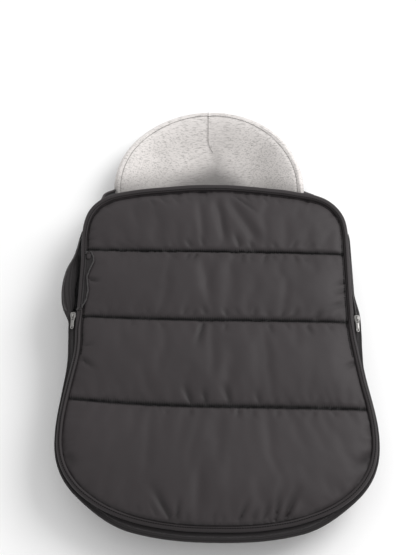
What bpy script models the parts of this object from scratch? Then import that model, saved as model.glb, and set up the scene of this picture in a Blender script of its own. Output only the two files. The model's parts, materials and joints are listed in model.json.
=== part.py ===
"""Stroller footmuff: quilted zip-on apron over a padded back panel with gusset walls.

Lies flat on its back. X is across, the foot end is at -Y, the head end at +Y, and the
underside of the back panel rests on Z = 0. All lengths are in metres.
"""
import math

import bmesh
import bpy
from mathutils import Vector

# Layer stack
CLEARANCE = 0.0003
SHELL = 0.0012
LINING = 0.0012
SEAM_WADDING = 0.0012

# Apron plan
HALF_WIDTH = 0.210
FOOT_HALF_WIDTH = 0.2285
FLARE_START_Y = -0.030
FOOT_CORNER_Y = -0.190
FOOT_CORNER_LENGTH = 0.1405
FOOT_ROUNDNESS = 2.3
HEAD_CORNER_Y = 0.130
HEAD_CORNER_LENGTH = 0.115
HEAD_ROUNDNESS = 3.5
SEAM_1_Y = 0.1145
SEAM_2_Y = -0.0095
SEAM_3_Y = -0.149
SEAM_SAG = 0.0100

# Apron heights
EDGE_HEIGHT = 0.0880
FOOT_EDGE_HEIGHT = 0.0660
EDGE_FALL_LENGTH = 0.345
CROWN = 0.0060
PUFF_ABOVE = 0.0130
PUFF_BELOW = 0.0045
PUFF_FULLNESS = 0.75
PUFF_SIDE_POWER = 6.0

# Band and binding
BAND_WIDTH = 0.0070
BAND_HALF_HEIGHT = 0.0045
BAND_CHAMFER = 0.0016
BINDING_WIDTH = 0.0105
BINDING_HALF_HEIGHT = 0.0043

# Zip
ZIP_CENTRE = 0.0050
ZIP_TAPE = 0.0007
ZIP_DROP = BAND_HALF_HEIGHT + CLEARANCE
COIL_RADIUS = 0.0011
COIL_SPACING = 0.0025
TAPE_UNDER_BAND = 0.0045
WALL_TOP_OFFSET = 0.0116
ZIP_TOP_Y = 0.160
CLOSED_ZIP_END_Y = -0.0020
FREE_TAPE_START_Y = 0.0105
FREE_TAPE_END_Y = 0.1075
FREE_TAPE_INNER = 0.0105
TAB_LENGTH = 0.0100
TAB_THICKNESS = 0.0015

# Slider and puller
SLIDER_LENGTH = 0.0125
SLIDER_WIDTH = 0.0090
SLIDER_PLATE = 0.0012
SLIDER_POST_WIDTH = 0.0013
SLIDER_POST_LENGTH = 0.0030
BAIL_WIDTH = 0.0022
BAIL_LENGTH = 0.0076
BAIL_HEIGHT = 0.0032
BAIL_BAR = 0.0010
PULLER_LENGTH = 0.0230
PULLER_WIDTH = 0.0056
PULLER_TIP_WIDTH = 0.0048
PULLER_THICKNESS = 0.0012
PULLER_WINDOW_WIDTH = 0.0030
PULLER_WINDOW_LENGTH = 0.0070
PULLER_BAR = 0.0006
PULLER_HOLE = 0.0012

# Back panel
PANEL_HALF_WIDTH = 0.1585
PANEL_FOOT_HALF_WIDTH = 0.186
PANEL_HEAD_Y = 0.273
PANEL_HEAD_LENGTH = 0.168
PANEL_HEAD_ROUNDNESS = 2.0
PANEL_FOOT_Y = -0.190
PANEL_FOOT_LENGTH = 0.098
PANEL_WADDING = 0.0120
RIM_RISE = 0.0420
RIM_START = 0.50
RIM_RAMP_START_Y = 0.140
RIM_RAMP_LENGTH = 0.140
PANEL_HOLLOW = 0.0040

# Harness slots, each row in a seam strip across the back panel
SLOT_LENGTH = 0.0500
SLOT_WIDTH = 0.0130
SLOT_CORNER = 0.0026
SLOT_FACING = 0.0012
SHOULDER_SLOT_X = 0.055
SHOULDER_SLOT_Y = 0.205
WAIST_SLOT_X = 0.100
WAIST_SLOT_Y = 0.035
CROTCH_SLOT_Y = -0.045
SEAM_STRIP_DIP = 0.0005
OVERRUN = 0.0100

# Gusset walls
WALL_SKIN = 0.0011
WALL_SIDE_GAP = 0.0017
WALL_TOE_GAP = 0.0032
WALL_FOOT_HEIGHT = 0.0060
WALL_TOP_DROP = 0.0066
TAPE_OVER_WALL = 0.0012
WALL_BELLY = 0.0055
WALL_HEAD_Y = 0.300
WALL_TAPER_START_Y = 0.145
WALL_HEAD_HEIGHT = 0.0560
WALL_HEAD_REACH = 0.0080
LEFT_BULGE = 0.0240
RIGHT_BULGE = 0.0040
BULGE_LENGTH = 0.200
OPEN_STEP = 0.0011
OPEN_STEP_START_Y = -0.0045
OPEN_STEP_LENGTH = 0.0050

# Head strap
STRAP_Y = 0.398
STRAP_HALF_LENGTH = 0.078
STRAP_WIDTH = 0.025
STRAP_THICKNESS = 0.0016
STRAP_SLACK = 0.0010

# Grid fineness
COLUMNS = 16
CHANNEL_ROWS = 8
FOOT_ROWS = 9
PANEL_COLUMNS = 14
PANEL_SECTION_ROWS = (8, 2, 5, 8)
WALL_ROWS = 4
WALL_SIDE_STATIONS = 13

UP = Vector((0.0, 0.0, 1.0))


def clear_scene():
    for item in list(bpy.data.objects):
        bpy.data.objects.remove(item, do_unlink=True)


def smooth(t):
    t = min(max(t, 0.0), 1.0)
    return t * t * (3.0 - 2.0 * t)


def mix(a, b, t):
    return a + (b - a) * t


def material(name, colour, roughness, metallic=0.0):
    made = bpy.data.materials.new(name)
    made.use_nodes = True
    shader = made.node_tree.nodes["Principled BSDF"]
    shader.inputs["Base Color"].default_value = (*colour, 1.0)
    shader.inputs["Roughness"].default_value = roughness
    shader.inputs["Metallic"].default_value = metallic
    return made


def put(name, data, made, home):
    item = bpy.data.objects.new(name, data)
    item.data.materials.append(made)
    home.objects.link(item)
    return item


def face_out(bm):
    bmesh.ops.recalc_face_normals(bm, faces=bm.faces[:])
    if bm.calc_volume(signed=True) < 0.0:
        bmesh.ops.reverse_faces(bm, faces=bm.faces[:])


# Closed sheet between two surfaces given on the same grid
def sheet(name, columns, rows, upper, lower, made, home):
    grid = bmesh.new()
    bmesh.ops.create_grid(grid, x_segments=columns, y_segments=rows, size=1.0)
    grown = bmesh.ops.extrude_face_region(grid, geom=grid.faces[:])
    top = {v for v in grown["geom"] if isinstance(v, bmesh.types.BMVert)}
    places = []
    for v in grid.verts:
        i = round((v.co.x + 1.0) * columns / 2.0)
        j = round((v.co.y + 1.0) * rows / 2.0)
        places.append((v, (upper if v in top else lower)(i, j)))
    for v, place in places:
        v.co = place
    face_out(grid)
    data = bpy.data.meshes.new(name)
    grid.to_mesh(data)
    grid.free()
    return put(name, data, made, home)


# Closed strip: one outline in offset and height, carried along a path of points and normals
def strip(name, path, outline, made, home):
    bm = bmesh.new()
    rings = []
    for n, (point, out) in enumerate(path):
        places = outline(n) if callable(outline) else outline
        rings.append([bm.verts.new(point + out * o + UP * z) for o, z in places])
    count = len(rings[0])
    for near, far in zip(rings, rings[1:]):
        for k in range(count):
            m = (k + 1) % count
            bm.faces.new((near[k], near[m], far[m], far[k]))
    bm.faces.new(rings[0])
    bm.faces.new(list(reversed(rings[-1])))
    face_out(bm)
    data = bpy.data.meshes.new(name)
    bm.to_mesh(data)
    bm.free()
    return put(name, data, made, home)


def cord(name, points, radius, made, home):
    curve = bpy.data.curves.new(name, "CURVE")
    curve.dimensions = "3D"
    curve.bevel_depth = radius
    curve.bevel_resolution = 1
    curve.use_fill_caps = True
    spline = curve.splines.new("POLY")
    spline.points.add(len(points) - 1)
    for target, point in zip(spline.points, points):
        target.co = (*point, 1.0)
    return put(name, curve, made, home)


def with_normals(points):
    path = []
    for n, point in enumerate(points):
        before = points[max(n - 1, 0)]
        after = points[min(n + 1, len(points) - 1)]
        along = (after - before).normalized()
        path.append((point, Vector((along.y, -along.x, 0.0)).normalized()))
    return path


def trimmed(path, low, high):
    """The stretch of a path that lies between two Y values, cut exactly at them."""
    kept = []
    for (a, a_out), (b, b_out) in zip(path, path[1:]):
        if low <= a.y <= high:
            kept.append((a, a_out))
        for limit in (low, high):
            if (a.y - limit) * (b.y - limit) < 0.0:
                t = (limit - a.y) / (b.y - a.y)
                kept.append((a.lerp(b, t), a_out.lerp(b_out, t).normalized()))
    if low <= path[-1][0].y <= high:
        kept.append(path[-1])
    return kept


def moved(path, offset, height):
    return [point + out * offset + UP * height for point, out in path]


# Apron plan and heights
def apron_half_width(y):
    flare = smooth((FLARE_START_Y - y) / (FLARE_START_Y - FOOT_CORNER_Y))
    return mix(HALF_WIDTH, FOOT_HALF_WIDTH, flare)


def rounded(share, power):
    return max(1.0 - abs(share) ** power, 0.0) ** (1.0 / power)


def edge_height(y):
    return mix(EDGE_HEIGHT, FOOT_EDGE_HEIGHT, smooth(-y / EDGE_FALL_LENGTH))


def seam_y(centre_y, share):
    return centre_y + SEAM_SAG * share * share


def column_share(i, columns):
    return math.sin(math.pi * (i / columns - 0.5))


class Channel:
    """One quilted channel between two cross lines, given as functions of the column share."""

    def __init__(self, low, high, inset):
        self.low = low
        self.high = high
        self.inset = inset

    def middle(self, share, along):
        y = mix(self.low(share), self.high(share), along)
        x = share * (apron_half_width(y) - self.inset)
        z = edge_height(y) + CROWN * (1.0 - share * share)
        return Vector((x, y, z))

    def puff(self, share, along):
        across = 1.0 - abs(share) ** PUFF_SIDE_POWER
        return max(math.sin(math.pi * along), 0.0) ** PUFF_FULLNESS * across


def quilt_places(channels, counts):
    """Middle points and puffs on one grid that runs through the channels in order."""
    table = []
    for i in range(COLUMNS + 1):
        share = column_share(i, COLUMNS)
        column = []
        for n, (channel, count) in enumerate(zip(channels, counts)):
            first = 0 if n == 0 else 1
            for j in range(first, count + 1):
                along = j / count
                column.append((channel.middle(share, along), channel.puff(share, along)))
        table.append(column)
    return table


def quilt_layers(prefix, channels, counts, made, home):
    table = quilt_places(channels, counts)
    rows = len(table[0]) - 1
    half = SEAM_WADDING / 2.0

    def level(above, below, extra):
        def at(i, j):
            point, puff = table[i][j]
            return point + UP * (above * puff * PUFF_ABOVE - below * puff * PUFF_BELOW + extra)
        return at

    shell_low = half + CLEARANCE
    lining_high = -half - CLEARANCE
    sheet(prefix + "_shell", COLUMNS, rows, level(1.0, 0.0, shell_low + SHELL),
          level(1.0, 0.0, shell_low), made["shell"], home)
    sheet(prefix + "_wadding", COLUMNS, rows, level(1.0, 0.0, half),
          level(0.0, 1.0, -half), made["wadding"], home)
    sheet(prefix + "_lining", COLUMNS, rows, level(0.0, 1.0, lining_high),
          level(0.0, 1.0, lining_high - LINING), made["fleece"], home)
    return table


def band_outline(width, half_height):
    a = CLEARANCE
    b = CLEARANCE + width
    c = BAND_CHAMFER
    h = half_height
    return [(a, -h), (b - c, -h), (b, -h + c), (b, h - c), (b - c, h), (a, h)]


# Panel plan
def panel_half_width(y):
    flare = smooth((FLARE_START_Y - y) / (FLARE_START_Y - PANEL_FOOT_Y))
    return mix(PANEL_HALF_WIDTH, PANEL_FOOT_HALF_WIDTH, flare)


def panel_foot(share):
    return PANEL_FOOT_Y - PANEL_FOOT_LENGTH * rounded(share, FOOT_ROUNDNESS)


def panel_head(share):
    return PANEL_HEAD_Y + PANEL_HEAD_LENGTH * rounded(share, PANEL_HEAD_ROUNDNESS)


def panel_sections():
    """Low line, high line and row count of each padded section, from the foot to the head."""
    half = SLOT_WIDTH / 2.0 + CLEARANCE
    seams = (CROTCH_SLOT_Y, WAIST_SLOT_Y, SHOULDER_SLOT_Y)
    lows = [panel_foot]
    highs = []
    for y in seams:
        highs.append(lambda share, level=y - half: level)
        lows.append(lambda share, level=y + half: level)
    highs.append(panel_head)
    return list(zip(lows, highs, PANEL_SECTION_ROWS))


def panel_place(low, high, share, along):
    y = mix(low(share), high(share), along)
    return Vector((share * panel_half_width(y), y, 0.0))


def rim_lift(point):
    beyond = max(point.y - PANEL_HEAD_Y, 0.0) / PANEL_HEAD_LENGTH
    reach = math.hypot(point.x / PANEL_HALF_WIDTH, beyond)
    ramp = smooth((point.y - RIM_RAMP_START_Y) / RIM_RAMP_LENGTH)
    return RIM_RISE * ramp * smooth((reach - RIM_START) / (1.0 - RIM_START))


def slot_places():
    return {
        "left_shoulder_slot": (-SHOULDER_SLOT_X, SHOULDER_SLOT_Y, 0.0),
        "right_shoulder_slot": (SHOULDER_SLOT_X, SHOULDER_SLOT_Y, 0.0),
        "left_waist_slot": (-WAIST_SLOT_X, WAIST_SLOT_Y, 0.0),
        "right_waist_slot": (WAIST_SLOT_X, WAIST_SLOT_Y, 0.0),
        "crotch_slot": (0.0, CROTCH_SLOT_Y, 0.0),
    }


def slot_mesh(name, places, length, width, corner, low, high):
    """Upright slots of one size with rounded corners, one closed body for each place."""
    bm = bmesh.new()
    steps = 3
    reach = length / 2.0 - corner
    half = width / 2.0 - corner
    for x, y, turn in places:
        ring = []
        for quarter, (side, edge) in enumerate(((1.0, 1.0), (-1.0, 1.0), (-1.0, -1.0),
                                                (1.0, -1.0))):
            for k in range(steps + 1):
                angle = math.pi / 2.0 * (quarter + k / steps)
                along = side * reach + corner * math.cos(angle)
                across = edge * half + corner * math.sin(angle)
                ring.append(bm.verts.new((
                    x + along * math.cos(turn) - across * math.sin(turn),
                    y + along * math.sin(turn) + across * math.cos(turn), low)))
        face = bm.faces.new(ring)
        grown = bmesh.ops.extrude_face_region(bm, geom=[face])
        for v in grown["geom"]:
            if isinstance(v, bmesh.types.BMVert):
                v.co.z = high
    face_out(bm)
    data = bpy.data.meshes.new(name)
    bm.to_mesh(data)
    bm.free()
    return data


def cut(item, cutter):
    change = item.modifiers.new("cut", "BOOLEAN")
    change.operation = "DIFFERENCE"
    change.solver = "EXACT"
    change.object = cutter


def fuse(item, other):
    change = item.modifiers.new("fuse", "BOOLEAN")
    change.operation = "UNION"
    change.solver = "EXACT"
    change.object = other


def hide_cutter(item):
    item.hide_render = True
    item.display_type = "WIRE"


def seam_strip(name, row_y, start_x, end_x, made, home):
    """Stitched-down strip beside a slot, from the underside up to the lining."""
    half = SLOT_WIDTH / 2.0
    high = SHELL + CLEARANCE + PANEL_WADDING - SEAM_STRIP_DIP
    columns = [panel_half_width(row_y) * column_share(i, PANEL_COLUMNS)
               for i in range(PANEL_COLUMNS + 1)]
    stations = [x for x in columns if start_x + CLEARANCE < x < end_x - CLEARANCE]
    stations = [start_x] + stations + [end_x]

    def level(height, hollow):
        def at(i, j):
            point = Vector((stations[i], row_y + mix(-half, half, j), 0.0))
            share = point.x / panel_half_width(row_y)
            dip = hollow * PANEL_HOLLOW * (1.0 - share * share)
            return point + UP * (rim_lift(point) + height - dip)
        return at

    sheet(name, len(stations) - 1, 1, level(high, 1.0), level(0.0, 0.0), made, home)


def seam_strips(name, row_y, slot_places_x, made, home):
    wide = panel_half_width(row_y)
    ends = [-wide]
    for x in slot_places_x:
        ends += [x - SLOT_LENGTH / 2.0, x + SLOT_LENGTH / 2.0]
    ends.append(wide)
    sides = ("left", "middle", "right") if len(slot_places_x) > 1 else ("left", "right")
    for n, side in enumerate(sides):
        seam_strip(side + "_" + name, row_y, ends[n * 2], ends[n * 2 + 1], made, home)


def back_panel(made, home, cutters):
    wadding_low = SHELL + CLEARANCE
    lining_low = wadding_low + PANEL_WADDING + CLEARANCE
    sections = panel_sections()
    table = []
    for i in range(PANEL_COLUMNS + 1):
        share = column_share(i, PANEL_COLUMNS)
        table.append([panel_place(low, high, share, j / rows)
                      for low, high, rows in sections for j in range(rows + 1)])

    def level(first, height, hollow):
        def at(i, j):
            share = column_share(i, PANEL_COLUMNS)
            point = table[i][first + j]
            dip = hollow * PANEL_HOLLOW * (1.0 - share * share)
            return point + UP * (rim_lift(point) + height - dip)
        return at

    first = 0
    for name, (low, high, rows) in zip(("foot", "seat", "middle", "head"), sections):
        sheet("back_" + name + "_shell", PANEL_COLUMNS, rows, level(first, SHELL, 0.0),
              level(first, 0.0, 0.0), made["shell"], home)
        sheet("back_" + name + "_wadding", PANEL_COLUMNS, rows,
              level(first, wadding_low + PANEL_WADDING, 1.0),
              level(first, wadding_low, 0.0), made["wadding"], home)
        first += rows + 1
    lining = sheet("back_lining", PANEL_COLUMNS, first - 1,
                   level(0, lining_low + LINING, 1.0), level(0, lining_low, 1.0),
                   made["marl"], home)
    seam_strips("crotch_seam", CROTCH_SLOT_Y, (0.0,), made["binding"], home)
    seam_strips("waist_seam", WAIST_SLOT_Y, (-WAIST_SLOT_X, WAIST_SLOT_X),
                made["binding"], home)
    seam_strips("shoulder_seam", SHOULDER_SLOT_Y, (-SHOULDER_SLOT_X, SHOULDER_SLOT_X),
                made["binding"], home)
    places = slot_places()
    facing_low = CLEARANCE
    top = lining_low + LINING + OVERRUN
    holes = put("slot_cutter", slot_mesh("slot_cutter", places.values(), SLOT_LENGTH,
                                         SLOT_WIDTH, SLOT_CORNER, -OVERRUN, top),
                made["shell"], cutters)
    hide_cutter(holes)
    cut(lining, holes)
    wide = SLOT_WIDTH - (CLEARANCE + SLOT_FACING) * 2.0
    long = SLOT_LENGTH - (CLEARANCE + SLOT_FACING) * 2.0
    bore_corner = SLOT_CORNER - CLEARANCE - SLOT_FACING
    bores = put("bore_cutter", slot_mesh("bore_cutter", places.values(), long, wide,
                                         bore_corner, -OVERRUN, top),
                made["shell"], cutters)
    hide_cutter(bores)
    for name, (x, y, turn) in places.items():
        share = x / PANEL_HALF_WIDTH
        height = lining_low + LINING - PANEL_HOLLOW * (1.0 - share * share)
        ring = slot_mesh(name + "_facing", [(x, y, turn)], SLOT_LENGTH - CLEARANCE * 2.0,
                         SLOT_WIDTH - CLEARANCE * 2.0, SLOT_CORNER - CLEARANCE,
                         facing_low, height)
        cut(put(name + "_facing", ring, made["binding"], home), bores)


def wall_tops(outer_path):
    """Top line of the gusset wall, from the left head end round the foot to the right one."""
    below = [(point + out * WALL_TOP_OFFSET, out) for point, out in outer_path]
    for n, (point, out) in enumerate(below):
        step = OPEN_STEP * smooth((point.y - OPEN_STEP_START_Y) / OPEN_STEP_LENGTH)
        below[n] = point + out * step - UP * WALL_TOP_DROP

    def upper(side, bulge, count):
        points = []
        for k in range(count + 1):
            y = mix(WALL_HEAD_Y, below[0].y, k / (count + 1))
            swell = math.sin(math.pi * min(max(y / BULGE_LENGTH, 0.0), 1.0)) ** 2.0
            step = OPEN_STEP * smooth((y - OPEN_STEP_START_Y) / OPEN_STEP_LENGTH)
            taper = smooth((y - WALL_TAPER_START_Y) / (WALL_HEAD_Y - WALL_TAPER_START_Y))
            x = HALF_WIDTH + WALL_TOP_OFFSET + bulge * swell + step
            end = PANEL_HALF_WIDTH + WALL_HEAD_REACH
            z = mix(EDGE_HEIGHT - WALL_TOP_DROP, WALL_HEAD_HEIGHT, taper)
            points.append(Vector((side * mix(x, end, taper), y, z)))
        return points

    left = upper(-1.0, LEFT_BULGE, WALL_SIDE_STATIONS)
    right = upper(1.0, RIGHT_BULGE, WALL_SIDE_STATIONS)
    return left + below + list(reversed(right)), len(left), len(below)


def wall_feet(tops, left_count, below_count):
    feet = []
    last = left_count + below_count - 1
    for n, top in enumerate(tops):
        if top.y >= FOOT_CORNER_Y:
            side = -1.0 if n < len(tops) / 2 else 1.0
            beyond = max(top.y - PANEL_HEAD_Y, 0.0) / PANEL_HEAD_LENGTH
            half = panel_half_width(top.y) * math.sqrt(1.0 - beyond * beyond)
            near_toe = smooth((FLARE_START_Y - top.y) / (FLARE_START_Y - FOOT_CORNER_Y))
            gap = mix(WALL_SIDE_GAP, WALL_TOE_GAP, near_toe)
            foot = Vector((side * (half + gap), top.y, 0.0))
        else:
            reach_x = top.x / (FOOT_HALF_WIDTH + WALL_TOP_OFFSET)
            share = min(max(reach_x, -1.0), 1.0)
            low = PANEL_FOOT_LENGTH + WALL_TOE_GAP
            y = FOOT_CORNER_Y - low * rounded(share, FOOT_ROUNDNESS)
            wide = PANEL_FOOT_HALF_WIDTH + WALL_TOE_GAP
            foot = Vector((share * wide, y, 0.0))
        lift = rim_lift(Vector((foot.x, foot.y, 0.0))) if foot.y > RIM_RAMP_START_Y else 0.0
        feet.append(foot + UP * (WALL_FOOT_HEIGHT + lift))
    return feet


def gusset(tops, feet, made, home):
    count = len(tops) - 1
    paths = with_normals(tops)
    table = []
    for n in range(count + 1):
        top, foot = tops[n], feet[n]
        out = paths[n][1]
        column = []
        for j in range(WALL_ROWS + 1):
            u = j / WALL_ROWS
            belly = WALL_BELLY * math.sin(math.pi * u) * (0.35 + 0.65 * u)
            column.append(foot.lerp(top, u) + out * belly)
        table.append(column)

    def normal(i, j):
        along = table[min(i + 1, count)][j] - table[max(i - 1, 0)][j]
        up = table[i][min(j + 1, WALL_ROWS)] - table[i][max(j - 1, 0)]
        return up.cross(along).normalized() * -1.0

    flip = 1.0 if normal(2, 2).x < 0.0 else -1.0

    def level(offset):
        def at(i, j):
            return table[i][j] + normal(i, j) * flip * offset
        return at

    half = CLEARANCE / 2.0
    sheet("gusset_shell", count, WALL_ROWS, level(half + WALL_SKIN), level(half),
          made["shell"], home)
    sheet("gusset_lining", count, WALL_ROWS, level(-half), level(-half - WALL_SKIN),
          made["fleece"], home)


def boot_zip(tops, made, home):
    run = trimmed(with_normals(tops), tops[len(tops) // 2].y - OVERRUN, ZIP_TOP_Y)
    tape_low = WALL_TOP_DROP - ZIP_DROP - ZIP_TAPE
    inner = ZIP_CENTRE + CLEARANCE / 2.0 - WALL_TOP_OFFSET
    outer = TAPE_OVER_WALL
    section = [(inner, tape_low), (outer, tape_low), (outer, tape_low + ZIP_TAPE),
               (inner, tape_low + ZIP_TAPE)]
    strip("boot_zip_tape", run, section, made["tape"], home)
    coil_offset = ZIP_CENTRE + COIL_SPACING / 2.0 - WALL_TOP_OFFSET
    coil_height = tape_low + ZIP_TAPE + CLEARANCE + COIL_RADIUS
    cord("boot_zip_coil", moved(run, coil_offset, coil_height), COIL_RADIUS,
         made["coil"], home)
    for name, place, ahead in (("left_boot_tape_tab", run[0], -1.0),
                               ("right_boot_tape_tab", run[-1], 1.0)):
        point, out = place
        along = Vector((-out.y, out.x, 0.0)) * ahead
        middle = point + out * ((inner + outer) / 2.0)
        middle = middle + along * (CLEARANCE + TAB_LENGTH / 2.0)
        tab = box(name, (outer - inner, TAB_LENGTH, TAB_THICKNESS), made["tape"], home)
        tab.location = middle + UP * (tape_low + TAB_THICKNESS)
        tab.rotation_euler = (0.0, 0.0, math.atan2(out.y, out.x))
    return run


def box(name, size, made, home):
    bm = bmesh.new()
    bmesh.ops.create_cube(bm, size=1.0)
    for v in bm.verts:
        v.co = Vector((v.co.x * size[0], v.co.y * size[1], v.co.z * size[2]))
    data = bpy.data.meshes.new(name)
    bm.to_mesh(data)
    bm.free()
    return put(name, data, made, home)


def zip_pull(side, name, made, home, cutters):
    """Slider on the closed end of one zip, with its puller hinged on the bail."""
    x = side * (HALF_WIDTH + ZIP_CENTRE)
    tape_top = EDGE_HEIGHT - ZIP_DROP
    plate_low = tape_top + CLEARANCE * 2.0 + COIL_RADIUS * 2.0
    under_top = tape_top - ZIP_TAPE - CLEARANCE
    slider = box(name + "_slider", (SLIDER_WIDTH, SLIDER_LENGTH, SLIDER_PLATE),
                 made["silver"], home)
    slider.location = (x, 0.0, plate_low + SLIDER_PLATE / 2.0)
    under = box(name + "_under", (SLIDER_WIDTH, SLIDER_LENGTH, SLIDER_PLATE),
                made["silver"], cutters)
    under.location = (x, 0.0, under_top - SLIDER_PLATE / 2.0)
    post_y = SLIDER_LENGTH / 2.0 - SLIDER_POST_LENGTH / 2.0
    middle = (plate_low + under_top) / 2.0
    reach = plate_low - under_top + SLIDER_PLATE
    post = box(name + "_post", (SLIDER_POST_WIDTH, SLIDER_POST_LENGTH, reach),
               made["silver"], cutters)
    post.location = (x, post_y - CLEARANCE, middle)
    plate_top = plate_low + SLIDER_PLATE
    bail = box(name + "_bail", (BAIL_WIDTH, BAIL_LENGTH, BAIL_HEIGHT + SLIDER_PLATE / 2.0),
               made["silver"], cutters)
    bail.location = (x, 0.0, plate_top + BAIL_HEIGHT / 2.0 - SLIDER_PLATE / 4.0)
    window = box(name + "_window", (BAIL_WIDTH + OVERRUN, BAIL_LENGTH - BAIL_BAR * 2.0,
                                    BAIL_HEIGHT - BAIL_BAR), made["silver"], cutters)
    window.location = (x, 0.0, plate_top + (BAIL_HEIGHT - BAIL_BAR) / 2.0)
    for other in (under, post, bail, window):
        hide_cutter(other)
    for other in (under, post, bail):
        fuse(slider, other)
    cut(slider, window)

    axis_z = plate_top + (BAIL_HEIGHT - BAIL_BAR) / 2.0
    axis_y = -BAIL_LENGTH / 2.0 + BAIL_BAR + PULLER_BAR + CLEARANCE * 2.0
    bm = bmesh.new()
    half = PULLER_WIDTH / 2.0
    tip = PULLER_TIP_WIDTH / 2.0
    ring = [(-half, 0.0), (half, 0.0), (half, -PULLER_WINDOW_LENGTH)]
    for k in range(7):
        turn = -math.pi * k / 6
        ring.append((tip * math.cos(turn), -PULLER_LENGTH + tip + tip * math.sin(turn)))
    ring.append((-half, -PULLER_WINDOW_LENGTH))
    base = bm.faces.new([bm.verts.new((px, py, -PULLER_THICKNESS / 2.0)) for px, py in ring])
    grown = bmesh.ops.extrude_face_region(bm, geom=[base])
    for v in grown["geom"]:
        if isinstance(v, bmesh.types.BMVert):
            v.co.z = PULLER_THICKNESS / 2.0
    face_out(bm)
    data = bpy.data.meshes.new(name + "_puller")
    bm.to_mesh(data)
    bm.free()
    puller = put(name + "_puller", data, made["silver"], home)
    puller.location = (x, axis_y, axis_z)
    eye = box(name + "_eye", (PULLER_WINDOW_WIDTH, PULLER_WINDOW_LENGTH - PULLER_BAR * 2.0,
                              PULLER_THICKNESS + OVERRUN), made["silver"], cutters)
    eye.location = (x, axis_y - PULLER_BAR - PULLER_WINDOW_LENGTH / 2.0 + PULLER_BAR, axis_z)
    hole = bmesh.new()
    bmesh.ops.create_cone(hole, cap_ends=True, segments=12, radius1=PULLER_HOLE,
                          radius2=PULLER_HOLE, depth=PULLER_THICKNESS + OVERRUN)
    hole_data = bpy.data.meshes.new(name + "_hole")
    hole.to_mesh(hole_data)
    hole.free()
    drill = put(name + "_hole", hole_data, made["silver"], cutters)
    drill.location = (x, axis_y - PULLER_LENGTH + PULLER_TIP_WIDTH / 2.0, axis_z)
    hide_cutter(eye)
    hide_cutter(drill)
    cut(puller, eye)
    cut(puller, drill)


def mid_zip_half(name, path, turned_up, made, home):
    """Loose apron half of the open zip, turned up over the side band or hanging beside it."""
    run = trimmed(path, FREE_TAPE_START_Y, FREE_TAPE_END_Y)
    if turned_up:
        low = BAND_HALF_HEIGHT + CLEARANCE
        outer = BAND_WIDTH + CLEARANCE * 2.0
        inner = outer - FREE_TAPE_INNER
        coil_offset = inner + COIL_RADIUS
    else:
        low = -ZIP_DROP - ZIP_TAPE
        outer = BAND_WIDTH + ZIP_CENTRE - SLIDER_POST_WIDTH / 2.0
        inner = outer - FREE_TAPE_INNER
        coil_offset = outer - COIL_RADIUS
    section = [(inner, low), (outer, low), (outer, low + ZIP_TAPE), (inner, low + ZIP_TAPE)]
    strip(name + "_free_tape", run, section, made["tape"], home)
    coil_height = low + ZIP_TAPE + CLEARANCE + COIL_RADIUS
    cord(name + "_free_coil", moved(run, coil_offset, coil_height), COIL_RADIUS,
         made["coil"], home)
    tab_drop = -1.0 if turned_up else 1.0
    point, out = max(run, key=lambda place: place[0].y)
    middle = point + out * ((inner + outer) / 2.0)
    tab = box(name + "_tape_tab", (FREE_TAPE_INNER, TAB_LENGTH, TAB_THICKNESS),
              made["tape"], home)
    tab.location = (middle.x, middle.y + CLEARANCE + TAB_LENGTH / 2.0,
                    middle.z + low + ZIP_TAPE - TAB_THICKNESS / 2.0 * tab_drop)


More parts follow.
